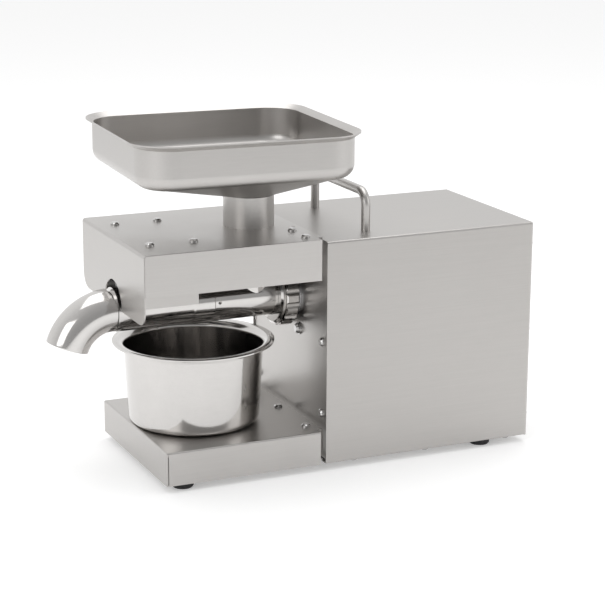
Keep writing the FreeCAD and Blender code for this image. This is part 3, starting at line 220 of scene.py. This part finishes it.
def thicken(piece: bpy.types.Object, wall: float, offset: float = -1.0) -> None:
    """Give a sheet its wall; offset -1 keeps the outer face where it is."""
    apply_modifier(piece, "SOLIDIFY", thickness=wall, offset=offset, use_even_offset=True)


def soften(piece: bpy.types.Object, width: float, segments: int = 2) -> None:
    """Break every sharp edge of a piece with a small bevel, which catches the light as a real edge does."""
    apply_modifier(piece, "BEVEL", width=width, segments=segments, limit_method="ANGLE",
                   angle_limit=math.radians(40), harden_normals=False)


def cut_away(piece: bpy.types.Object, tool: bpy.types.Object) -> None:
    """Subtract a tool from a piece and remove the tool."""
    apply_modifier(piece, "BOOLEAN", operation="DIFFERENCE", solver="EXACT", object=tool)
    bpy.data.objects.remove(tool, do_unlink=True)


def shade(piece: bpy.types.Object, degrees: float = 32.0) -> None:
    """Shade smoothly, with edges sharper than the angle kept crisp."""
    take_hold(piece)
    bpy.ops.object.shade_smooth_by_angle(angle=math.radians(degrees))


def mend(piece: bpy.types.Object, reach: float = 1e-6) -> None:
    """Merge doubles and turn every face outwards.

    Args:
        piece: the mesh to mend.
        reach: how near two vertices are to be merged.
    """
    with editing(piece, "VERT"):
        bpy.ops.mesh.select_all(action="SELECT")
        bpy.ops.mesh.remove_doubles(threshold=reach)
        bpy.ops.mesh.normals_make_consistent(inside=False)


# ---- shared shader effects -------------------------------------------------------------------------------
class GroupMaker:
    """Builds one shader node group with named inputs and outputs."""

    def __init__(self, name: str, inputs: dict[str, float], outputs: dict[str, str]) -> None:
        """Start a group.

        Args:
            name: the group's name.
            inputs: each float input and its default.
            outputs: each output and its socket type.
        """
        self.tree = bpy.data.node_groups.new(name, "ShaderNodeTree")
        self.tree.interface.new_socket("Vector", in_out="INPUT", socket_type="NodeSocketVector")
        for label, value in inputs.items():
            socket = self.tree.interface.new_socket(label, in_out="INPUT", socket_type="NodeSocketFloat")
            socket.default_value = value
        for label, kind in outputs.items():
            self.tree.interface.new_socket(label, in_out="OUTPUT", socket_type=kind)
        self.source = self.tree.nodes.new("NodeGroupInput")
        self.sink = self.tree.nodes.new("NodeGroupOutput")

    def node(self, kind: str, **settings: object) -> bpy.types.Node:
        """Add a node and set its properties.

        Args:
            kind: the node's type.
            settings: its properties by name.

        Returns:
            The new node.
        """
        made = self.tree.nodes.new(kind)
        for name, value in settings.items():
            setattr(made, name, value)
        return made

    def link(self, start: bpy.types.NodeSocket, end: bpy.types.NodeSocket) -> None:
        """Join an output to an input."""
        self.tree.links.new(start, end)

    def math(self, operation: str, first: object, second: object = 0.0,
             clamp: bool = False) -> bpy.types.NodeSocket:
        """Add a Math node on two sockets or numbers.

        Args:
            operation: the node's operation.
            first: its first value.
            second: its second value.
            clamp: whether the result stays from 0 to 1.

        Returns:
            Its output socket.
        """
        made = self.node("ShaderNodeMath", operation=operation, use_clamp=clamp)
        for socket, value in zip(made.inputs, (first, second)):
            if isinstance(value, (int, float)):
                socket.default_value = value
            else:
                self.link(value, socket)
        return made.outputs[0]

    def noise(self, vector: bpy.types.NodeSocket, scale: object, detail: float, stretch: Point = (1, 1, 1),
              roughness: float = 0.55) -> bpy.types.NodeSocket:
        """Noise on stretched coordinates.

        Args:
            vector: the coordinates.
            scale: the noise's scale, a number or a socket.
            detail: how many finer layers it has.
            stretch: factor on each axis.
            roughness: weight of the finer layers.

        Returns:
            Its value, from 0 to 1.
        """
        mapping = self.node("ShaderNodeMapping")
        mapping.inputs["Scale"].default_value = stretch
        self.link(vector, mapping.inputs["Vector"])
        made = self.node("ShaderNodeTexNoise")
        made.inputs["Detail"].default_value = detail
        made.inputs["Roughness"].default_value = roughness
        if isinstance(scale, (int, float)):
            made.inputs["Scale"].default_value = scale
        else:
            self.link(scale, made.inputs["Scale"])
        self.link(mapping.outputs[0], made.inputs["Vector"])
        return made.outputs["Fac"]


class Effects:
    """The shader effects that several finishes share."""

    def __init__(self) -> None:
        """Build each group once."""
        self.grain = self.brushed_grain()
        self.handling = self.handling_marks()
        self.mottle = self.fine_mottle()

    @staticmethod
    def brushed_grain() -> bpy.types.NodeTree:
        """Fine lines along X and, weaker, along Y, as a sheet belt or a polishing wheel leaves them.

        Returns:
            The node group.
        """
        group = GroupMaker("brushed_grain", {"Fineness": 900.0, "Cross": 0.25},
                           {"Lines": "NodeSocketFloat"})
        vector, fineness = group.source.outputs["Vector"], group.source.outputs["Fineness"]
        along_x = group.noise(vector, fineness, 3.0, (0.012, 1.0, 1.0))
        along_y = group.noise(vector, fineness, 2.0, (1.0, 0.02, 1.0))
        cross = group.math("MULTIPLY", along_y, group.source.outputs["Cross"])
        group.link(group.math("ADD", along_x, cross), group.sink.inputs["Lines"])
        return group.tree

    @staticmethod
    def handling_marks() -> bpy.types.NodeTree:
        """Soft clouds and small wipe marks that make a steel surface a little duller here and there.

        Returns:
            The node group.
        """
        group = GroupMaker("handling_marks", {"Size": 14.0, "Contrast": 1.6}, {"Marks": "NodeSocketFloat"})
        vector = group.source.outputs["Vector"]
        clouds = group.noise(vector, group.source.outputs["Size"], 4.0, (1.0, 1.0, 0.7))
        wipes = group.noise(vector, 60.0, 3.0, (0.5, 1.0, 2.2), 0.7)
        both = group.math("ADD", group.math("MULTIPLY", clouds, 0.75), group.math("MULTIPLY", wipes, 0.25))
        spread = group.math("MULTIPLY", group.math("SUBTRACT", both, 0.5), group.source.outputs["Contrast"])
        group.link(group.math("ADD", spread, 0.5, clamp=True), group.sink.inputs["Marks"])
        return group.tree

    @staticmethod
    def fine_mottle() -> bpy.types.NodeTree:
        """Even, fine texture of moulded plastic, rubber or cast metal.

        Returns:
            The node group.
        """
        group = GroupMaker("fine_mottle", {"Grain": 1500.0}, {"Height": "NodeSocketFloat"})
        source = group.source.outputs
        group.link(group.noise(source["Vector"], source["Grain"], 2.0), group.sink.inputs["Height"])
        return group.tree


@dataclass(frozen=True)
class Finish:
    """A finish: colour, gloss and how strongly its surface texture shows."""

    name: str
    colour: tuple[float, float, float]
    metallic: float
    roughness: float
    shade: float = 0.06
    dull: float = 0.08
    relief: float = 0.0
    fineness: float = 900.0
    cross: float = 0.25
    marks: float = 14.0
    coat: float = 0.0
    brushed: bool = True
    grain_share: float = 0.35
    marks_share: float = 0.65
    bump_depth: float = 0.05 * MM

    def build(self, effects: Effects) -> bpy.types.Material:
        """Make the material.

        Args:
            effects: the shared node groups.

        Returns:
            The new material.
        """
        material = bpy.data.materials.new(self.name)
        material.use_nodes = True
        tree = material.node_tree
        shader = tree.nodes["Principled BSDF"]
        shader.inputs["Metallic"].default_value = self.metallic
        shader.inputs["Coat Weight"].default_value = self.coat
        place = tree.nodes.new("ShaderNodeTexCoord").outputs["Object"]
        marks = self._group(tree, effects.handling, place, {"Size": self.marks})
        if self.brushed:
            lines = self._group(tree, effects.grain, place, {"Fineness": self.fineness, "Cross": self.cross})
            height = lines.outputs["Lines"]
        else:
            height = self._group(tree, effects.mottle, place, {"Grain": self.fineness}).outputs["Height"]
        self._colour(tree, shader, marks.outputs["Marks"], height)
        self._span(tree, marks.outputs["Marks"], self.roughness - self.dull, self.roughness + self.dull,
                   shader.inputs["Roughness"])
        bump = tree.nodes.new("ShaderNodeBump")
        bump.inputs["Strength"].default_value = self.relief
        bump.inputs["Distance"].default_value = self.bump_depth
        tree.links.new(height, bump.inputs["Height"])
        tree.links.new(bump.outputs["Normal"], shader.inputs["Normal"])
        return material

    @staticmethod
    def _group(tree: bpy.types.NodeTree, group: bpy.types.NodeTree, place: bpy.types.NodeSocket,
               values: dict[str, float]) -> bpy.types.Node:
        """Put a shared effect into the material with its own values.

        Args:
            tree: the material's nodes.
            group: the effect.
            place: the coordinates that it reads.
            values: its inputs by name.

        Returns:
            The group's node.
        """
        made = tree.nodes.new("ShaderNodeGroup")
        made.node_tree = group
        tree.links.new(place, made.inputs["Vector"])
        for label, value in values.items():
            made.inputs[label].default_value = value
        return made

    @staticmethod
    def _span(tree: bpy.types.NodeTree, value: bpy.types.NodeSocket, low: float, high: float,
              end: bpy.types.NodeSocket) -> None:
        """Map 0 to 1 onto low to high and feed a socket.

        Args:
            tree: the material's nodes.
            value: what is mapped.
            low: result at 0.
            high: result at 1.
            end: the socket to feed.
        """
        made = tree.nodes.new("ShaderNodeMapRange")
        made.inputs["To Min"].default_value = max(low, 0.02)
        made.inputs["To Max"].default_value = min(high, 1.0)
        tree.links.new(value, made.inputs["Value"])
        tree.links.new(made.outputs["Result"], end)

    def _colour(self, tree: bpy.types.NodeTree, shader: bpy.types.Node, marks: bpy.types.NodeSocket,
                height: bpy.types.NodeSocket) -> None:
        """Vary the colour a little with the marks and the grain.

        Args:
            tree: the material's nodes.
            shader: the shader whose colour is fed.
            marks: the handling marks.
            height: the grain or mottle.
        """
        blend = tree.nodes.new("ShaderNodeMath")
        blend.operation = "MULTIPLY_ADD"
        blend.inputs[1].default_value = self.grain_share
        tree.links.new(height, blend.inputs[0])
        scaled = tree.nodes.new("ShaderNodeMath")
        scaled.operation = "MULTIPLY"
        scaled.inputs[1].default_value = self.marks_share
        tree.links.new(marks, scaled.inputs[0])
        tree.links.new(scaled.outputs[0], blend.inputs[2])
        ramp = tree.nodes.new("ShaderNodeValToRGB")
        ramp.color_ramp.elements[0].position = 0.25
        ramp.color_ramp.elements[1].position = 0.75
        ramp.color_ramp.elements[0].color = (*[c * (1 - self.shade) for c in self.colour], 1)
        ramp.color_ramp.elements[1].color = (*[min(c * (1 + self.shade), 1.0) for c in self.colour], 1)
        tree.links.new(blend.outputs[0], ramp.inputs["Fac"])
        tree.links.new(ramp.outputs["Color"], shader.inputs["Base Color"])


class Kind(Enum):
    """Every finish on the press."""

    SATIN_SHEET = Finish("satin_sheet_steel", (0.50, 0.485, 0.47), 1.0, 0.33, relief=0.10)
    SATIN_HOUSING = Finish("satin_housing_steel", (0.47, 0.455, 0.44), 1.0, 0.36, relief=0.10, marks=7.0)
    POLISHED = Finish("polished_steel", (0.60, 0.585, 0.57), 1.0, 0.12, dull=0.05, relief=0.04, marks=22.0)
    MACHINED = Finish("machined_steel", (0.50, 0.50, 0.51), 1.0, 0.25, relief=0.10, fineness=1400.0)
    SCREW = Finish("bright_screw_steel", (0.55, 0.545, 0.54), 1.0, 0.2, relief=0.03)
    CAST = Finish("cast_aluminium", (0.48, 0.49, 0.50), 1.0, 0.5, relief=0.35, fineness=700.0, brushed=False)
    MOTOR = Finish("motor_enamel", (0.05, 0.05, 0.055), 0.0, 0.4, relief=0.08, brushed=False)
    COPPER = Finish("turned_copper", (0.60, 0.33, 0.20), 1.0, 0.25, relief=0.08)
    HEATER = Finish("heater_tube", (0.33, 0.29, 0.25), 1.0, 0.38, relief=0.08)
    RUBBER = Finish("black_rubber", (0.022, 0.022, 0.023), 0.0, 0.7, relief=0.25, fineness=900.0, brushed=False)
    PLASTIC = Finish("black_plastic", (0.03, 0.03, 0.032), 0.0, 0.45, relief=0.15, brushed=False)
    ROCKER_RED = Finish("red_rocker_plastic", (0.45, 0.02, 0.016), 0.0, 0.22, coat=0.3, relief=0.03,
                        brushed=False)
    ROCKER_BLACK = Finish("black_rocker_plastic", (0.02, 0.02, 0.02), 0.0, 0.22, coat=0.3, relief=0.03,
                          brushed=False)
    BOARD = Finish("board_lacquer", (0.02, 0.17, 0.07), 0.0, 0.35, coat=0.2, relief=0.05, brushed=False)


SLOT_FINISH: dict[str, Kind] = {
    "satin_steel": Kind.SATIN_SHEET, "polished_steel": Kind.POLISHED, "machined_steel": Kind.MACHINED,
    "screw_steel": Kind.SCREW, "cast_aluminium": Kind.CAST, "motor_steel": Kind.MOTOR, "copper": Kind.COPPER,
    "heater_steel": Kind.HEATER, "black_rubber": Kind.RUBBER, "black_plastic": Kind.PLASTIC,
    "red_plastic": Kind.ROCKER_RED, "rocker_black": Kind.ROCKER_BLACK, "board_green": Kind.BOARD,
}


class PaintShop:
    """Makes each finish once, dresses the CAD nodes and hands finished pieces over to the frame."""

    def __init__(self) -> None:
        """Build the shared effects and every finish."""
        effects = Effects()
        self.made = {kind: kind.value.build(effects) for kind in Kind}
        self.slots = {part["node"]: part["material_slot"] for part in frame["record"]["subparts"]}
        self.carrier = {node: body for body, nodes in frame["record"]["behaviour"]["bodies"].items()
                        for node in nodes}

    def dress_nodes(self) -> None:
        """Give every CAD node the finish of its material slot."""
        for name, node in frame["nodes"].items():
            node.data.materials.clear()
            node.data.materials.append(self.made[SLOT_FINISH[self.slots[name]]])

    def hand_over(self, piece: bpy.types.Object, kind: Kind, *nodes: str, angle: float = 32.0,
                  flat: bool = False) -> bpy.types.Object:
        """Shade and dress a finished piece, and let it stand for its CAD nodes.

        Args:
            piece: the finished mesh.
            kind: its finish.
            nodes: the CAD nodes that it replaces; the first says what it rides on.
            angle: edges sharper than this stay crisp.
            flat: whether its large faces are flat, so that rounded edges leave them unshaded.

        Returns:
            The piece.
        """
        settle(piece)
        shade(piece, angle)
        if flat:
            apply_modifier(piece, "WEIGHTED_NORMAL", mode="FACE_AREA", weight=100, keep_sharp=True)
        piece.data.materials.clear()
        piece.data.materials.append(self.made[kind])
        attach(piece, self.carrier[nodes[0]])
        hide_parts(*nodes)
        LOG.info("%s stands for %s with %d faces", piece.name, ", ".join(nodes), len(piece.data.polygons))
        return piece


# ---- studio ----------------------------------------------------------------------------------------------
@dataclass
class Studio:
    """Camera, pale floor and soft lamps."""

    azimuth: float = -24.42
    elevation: float = 14.70
    roll: float = 0.29
    distance: float = 1.77333
    aim: Point = (0.03550, 0.0275, 0.12406)
    lens: float = 114.8
    floor_size: float = 14.0
    floor_grey: float = 0.80
    floor_glow: float = 0.30
    near_light: float = 0.42
    far_light: float = 1.0

    def build(self) -> None:
        """Make the camera, the floor, the lamps and the world."""
        self.camera()
        self.floor()
        self.lamps()
        self.world()
        bpy.context.scene.view_settings.view_transform = "Standard"

    def camera(self) -> None:
        """Camera on its sight line, turned a little about it."""
        a, e = math.radians(self.azimuth), math.radians(self.elevation)
        back = Vector((math.sin(a) * math.cos(e), -math.cos(a) * math.cos(e), math.sin(e)))
        data = bpy.data.cameras.new("camera")
        data.sensor_width = 36.0
        data.lens = self.lens
        camera = bpy.data.objects.new("camera", data)
        bpy.context.scene.collection.objects.link(camera)
        turned = back.to_track_quat("Z", "Y").to_matrix() @ Matrix.Rotation(math.radians(self.roll), 3, "Z")
        camera.matrix_world = Matrix.Translation(Vector(self.aim) + back * self.distance) @ turned.to_4x4()
        bpy.context.scene.camera = camera

    def floor(self) -> None:
        """Large pale floor that keeps the soft shadow and reads white to the camera and to the steel."""
        clear_selection()
        bpy.ops.mesh.primitive_plane_add(size=self.floor_size, location=(0, 0, 0))
        floor = bpy.context.active_object
        floor.name = "floor"
        settle(floor)
        material = bpy.data.materials.new("pale_floor")
        material.use_nodes = True
        tree = material.node_tree
        tree.nodes.clear()
        paper = tree.nodes.new("ShaderNodeBsdfDiffuse")
        paper.inputs["Color"].default_value = (self.floor_grey, self.floor_grey, self.floor_grey, 1)
        glow = tree.nodes.new("ShaderNodeEmission")
        glow.inputs["Color"].default_value = (1, 1, 1, 1)
        tree.links.new(self.seen(tree, self.floor_glow), glow.inputs["Strength"])
        total = tree.nodes.new("ShaderNodeAddShader")
        out = tree.nodes.new("ShaderNodeOutputMaterial")
        tree.links.new(paper.outputs[0], total.inputs[0])
        tree.links.new(glow.outputs[0], total.inputs[1])
        tree.links.new(total.outputs[0], out.inputs["Surface"])
        floor.data.materials.append(material)

    @staticmethod
    def seen(tree: bpy.types.NodeTree, strength: float) -> bpy.types.NodeSocket:
        """Strength for what the camera sees directly, in a reflection or through glass, and 0 otherwise.

        Args:
            tree: the material's nodes.
            strength: the strength where it is seen.

        Returns:
            The socket that carries it.
        """
        path = tree.nodes.new("ShaderNodeLightPath")
        first = tree.nodes.new("ShaderNodeMath")
        first.operation = "ADD"
        tree.links.new(path.outputs["Is Camera Ray"], first.inputs[0])
        tree.links.new(path.outputs["Is Glossy Ray"], first.inputs[1])
        second = tree.nodes.new("ShaderNodeMath")
        second.operation = "ADD"
        second.use_clamp = True
        tree.links.new(first.outputs[0], second.inputs[0])
        tree.links.new(path.outputs["Is Transmission Ray"], second.inputs[1])
        scaled = tree.nodes.new("ShaderNodeMath")
        scaled.operation = "MULTIPLY"
        scaled.inputs[1].default_value = strength
        tree.links.new(second.outputs[0], scaled.inputs[0])
        return scaled.outputs[0]

    def lamps(self) -> None:
        """A large soft lamp overhead and two weaker ones at the sides."""
        self.lamp("overhead", (0.1, 0.2, 1.9), (0.0, 0.0, 0.1), 1.8, 16.0)
        self.lamp("left", (-1.8, -0.9, 1.0), (0.0, 0.0, 0.12), 1.2, 7.0)
        self.lamp("right", (1.7, -1.2, 0.9), (0.05, 0.0, 0.12), 1.2, 5.0)

    @staticmethod
    def lamp(name: str, at: Point, aim: Point, size: float, power: float) -> None:
        """Square area lamp that points at a place.

        Args:
            name: the lamp's name.
            at: where it stands.
            aim: where it points.
            size: its side.
            power: its power in watts.
        """
        data = bpy.data.lights.new(name, "AREA")
        data.size = size
        data.energy = power
        lamp = bpy.data.objects.new(name, data)
        bpy.context.scene.collection.objects.link(lamp)
        way = Vector(at) - Vector(aim)
        lamp.matrix_world = Matrix.Translation(at) @ way.to_track_quat("Z", "Y").to_matrix().to_4x4()

    def world(self) -> None:
        """Pale room: bright overhead and behind the object, darker low down on the camera's side."""
        world = bpy.data.worlds.new("room")
        bpy.context.scene.world = world
        world.use_nodes = True
        tree = world.node_tree
        tree.nodes.clear()
        place = tree.nodes.new("ShaderNodeTexCoord")
        split = tree.nodes.new("ShaderNodeSeparateXYZ")
        tree.links.new(place.outputs["Generated"], split.inputs[0])
        depth = tree.nodes.new("ShaderNodeMapRange")
        depth.inputs["From Min"].default_value = -1.0
        depth.inputs["From Max"].default_value = 0.6
        depth.inputs["To Min"].default_value = self.near_light
        depth.inputs["To Max"].default_value = self.far_light
        tree.links.new(split.outputs["Y"], depth.inputs["Value"])
        background = tree.nodes.new("ShaderNodeBackground")
        background.inputs["Color"].default_value = (1, 1, 1, 1)
        tree.links.new(depth.outputs["Result"], background.inputs["Strength"])
        out = tree.nodes.new("ShaderNodeOutputWorld")
        tree.links.new(background.outputs[0], out.inputs["Surface"])


# ---- folded sheet ----------------------------------------------------------------------------------------
@dataclass
class MotorHousing:
    """Folded cover of the motor housing."""

    shop: PaintShop
    sheet: float = 1.2 * MM
    bend: float = 2.0 * MM
    low_bend: float = 1.2 * MM
    flange: float = 9.0 * MM

    def build(self) -> None:
        """Model the cover as one U-shaped sheet with its bends and bottom flanges."""
        low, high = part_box("housing_cover")
        cover = block("cover_sheet", low, high)
        remove_faces(cover, lambda f: abs(f.normal.x) > FACING)
        with editing(cover, "FACE"):
            pick_faces(cover, lambda f: f.normal.z < -FACING)
            bpy.ops.mesh.inset(thickness=self.flange, use_boundary=False)
            bpy.ops.mesh.delete(type="FACE")
        bevel(cover, lambda e: runs_along(e, 0) and middle(e).z > high.z - MM, self.bend, 5)
        bevel(cover, lambda e: runs_along(e, 0) and middle(e).z < low.z + MM
              and abs(middle(e).y) > high.y - MM, self.low_bend, 3)
        thicken(cover, self.sheet)
        soften(cover, EDGE_BREAK)
        self.shop.hand_over(cover, Kind.SATIN_HOUSING, "housing_cover", flat=True)


@dataclass
class Hood:
    """Top sheet with its folded end plate, and the two side skirts."""

    shop: PaintShop
    axis: Point
    sheet: float = 1.2 * MM
    bend: float = 3.0 * MM
    corner: float = 14.0 * MM
    notch: float = 22.0 * MM
    notch_rise: float = 4.7 * MM
    slot_y: float = 28.5 * MM
    slot_half: float = 4.0 * MM
    slot_depth: float = 3.5 * MM
    skirt_bend: float = 2.6 * MM
    cutter_reach: float = 5.0 * MM
    cutter_depth: float = 12.0 * MM
    cutter_drop: float = 40.0 * MM

    def build(self) -> None:
        """Model the shell and both skirts."""
        self.shell()
        for node in ("hood_near_skirt", "hood_far_skirt"):
            self.skirt(node)

    def shell(self) -> None:
        """Top sheet bent down into the end plate, with the arch round the barrel cut out."""
        low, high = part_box("hood_shell")
        shell = block("hood_sheet", low, high)
        remove_faces(shell, lambda f: abs(f.normal.y) > FACING or f.normal.z < -FACING or f.normal.x > FACING)
        bevel(shell, lambda e: runs_along(e, 1) and middle(e).z > high.z - MM and middle(e).x < low.x + MM,
              self.bend, 6)
        with editing(shell, "VERT"):
            mesh = bmesh.from_edit_mesh(shell.data)
            for vertex in mesh.verts:
                vertex.select_set(vertex.co.z < low.z + MM)
            bmesh.update_edit_mesh(shell.data)
            bpy.ops.mesh.bevel(offset=self.corner, segments=8, affect="VERTICES", clamp_overlap=True)
        thicken(shell, self.sheet, 1.0 if self.faces_inwards(shell) else -1.0)
        mend(shell)
        clear_selection()
        centre = Vector((low.x, 0, self.axis[2] + self.notch_rise))
        bpy.ops.mesh.primitive_cylinder_add(vertices=ROUND_STEPS, radius=self.notch, depth=self.cutter_depth,
                                            location=centre, rotation=(0, math.pi / 2, 0))
        tool = bpy.context.active_object
        settle(tool)
        with editing(tool, "FACE"):
            pick_faces(tool, lambda f: f.normal.z < -0.02 and abs(f.normal.x) < FACING)
            bpy.ops.mesh.extrude_region_move(TRANSFORM_OT_translate={"value": (0, 0, -self.cutter_drop)})
        mend(tool)
        cut_away(shell, tool)
        for side in (-1, 1):
            y = side * self.slot_y
            slot = block("slot", (high.x - self.slot_depth, y - self.slot_half, high.z - self.cutter_reach),
                         (high.x + MM, y + self.slot_half, high.z + self.cutter_reach))
            cut_away(shell, slot)
        soften(shell, EDGE_BREAK)
        self.shop.hand_over(shell, Kind.SATIN_SHEET, "hood_shell", flat=True)

    @staticmethod
    def faces_inwards(shell: bpy.types.Object) -> bool:
        """Whether the top sheet's normal points down."""
        return any(f.normal.z < -FACING for f in shell.data.polygons)

    def skirt(self, node: str) -> None:
        """Side skirt with its rounded front corner.

        Args:
            node: the CAD node that it stands for.
        """
        low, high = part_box(node)
        skirt = block(node.replace("hood_", "") + "_sheet", low, high)
        bevel(skirt, lambda e: runs_along(e, 1) and middle(e).x < low.x + MM and middle(e).z > high.z - MM,
              self.skirt_bend, 5)
        soften(skirt, EDGE_BREAK)
        self.shop.hand_over(skirt, Kind.SATIN_SHEET, node, flat=True)


@dataclass
class Tray:
    """Shallow folded tray under the bowl."""

    shop: PaintShop
    sheet: float = 1.2 * MM
    bend: float = 1.6 * MM
    flange: float = 26.0 * MM
    seam_w: float = 0.7 * MM
    seam_stop: float = 2.5 * MM
    seam_half: float = 2.0 * MM

    def build(self) -> None:
        """Model the tray with its open corner seams."""
        low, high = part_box("base_tray")
        tray = block("tray_sheet", low, high)
        remove_faces(tray, lambda f: f.normal.x > FACING)
        with editing(tray, "FACE"):
            pick_faces(tray, lambda f: f.normal.z < -FACING)
            bpy.ops.mesh.inset(thickness=self.flange, use_boundary=False)
            bpy.ops.mesh.delete(type="FACE")
        bevel(tray, lambda e: middle(e).z > high.z - MM and not e.is_boundary, self.bend, 4)
        thicken(tray, self.sheet)
        for side in (-1, 1):
            y = side * high.y
            seam = block("seam", (low.x + self.sheet, y - self.seam_half, low.z - MM),
                         (low.x + self.sheet + self.seam_w, y + self.seam_half, high.z - self.seam_stop))
            cut_away(tray, seam)
        soften(tray, EDGE_BREAK)
        self.shop.hand_over(tray, Kind.SATIN_SHEET, "base_tray", flat=True)


# ---- spout -----------------------------------------------------------------------------------------------
@dataclass
class Spout:
    """Residue spout: a bent tube whose inlet is cut on a slant at the top."""

    shop: PaintShop
    axis: Point
    radius: float = 19.0 * MM
    wall: float = 1.5 * MM
    bend: float = 43.0 * MM
    turn: float = 71.0
    slant: float = 10.0 * MM
    spigot: float = 9.0 * MM
    gap: float = 0.3 * MM
    rim: float = 0.35 * MM
    bend_steps: int = 48

    def build(self) -> None:
        """Spin a circle into the bent tube, cut its inlet and give it its wall."""
        inlet_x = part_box("press_barrel")[0].x + self.spigot - self.gap
        centre = Vector((inlet_x, 0, self.axis[2] - self.bend))
        clear_selection()
        bpy.ops.mesh.primitive_circle_add(vertices=ROUND_STEPS, radius=self.radius,
                                          location=(inlet_x, 0, self.axis[2]), rotation=(0, math.pi / 2, 0))
        spout = bpy.context.active_object
        spout.name = "spout_tube"
        settle(spout)
        with editing(spout, "VERT"):
            bpy.ops.mesh.select_all(action="SELECT")
            bpy.ops.mesh.spin(steps=self.bend_steps, angle=math.radians(self.turn), center=centre,
                              axis=(0, 1, 0))
        mend(spout)
        with editing(spout, "VERT"):
            bpy.ops.mesh.select_all(action="SELECT")
            bpy.ops.mesh.bisect(plane_co=(inlet_x, 0, self.axis[2]), plane_no=(self.radius, 0, self.slant),
                                clear_outer=True)
        thicken(spout, self.wall)
        soften(spout, self.rim, 3)
        self.shop.hand_over(spout, Kind.POLISHED, "residue_spout", angle=50.0)


def main() -> None:
    """Build the studio, dress the nodes and model each sub-assembly."""
    logging.basicConfig(level=logging.INFO, format="%(name)s: %(message)s")
    shaft = next(joint for joint in frame["joints"] if joint["name"] == "press_screw_turn")
    axis = tuple(shaft["pos_m"])
    Studio().build()
    shop = PaintShop()
    shop.dress_nodes()
    MotorHousing(shop).build()
    Hood(shop, axis).build()
    Tray(shop).build()
    Spout(shop, axis).build()


if __name__ == "__main__":
    main()
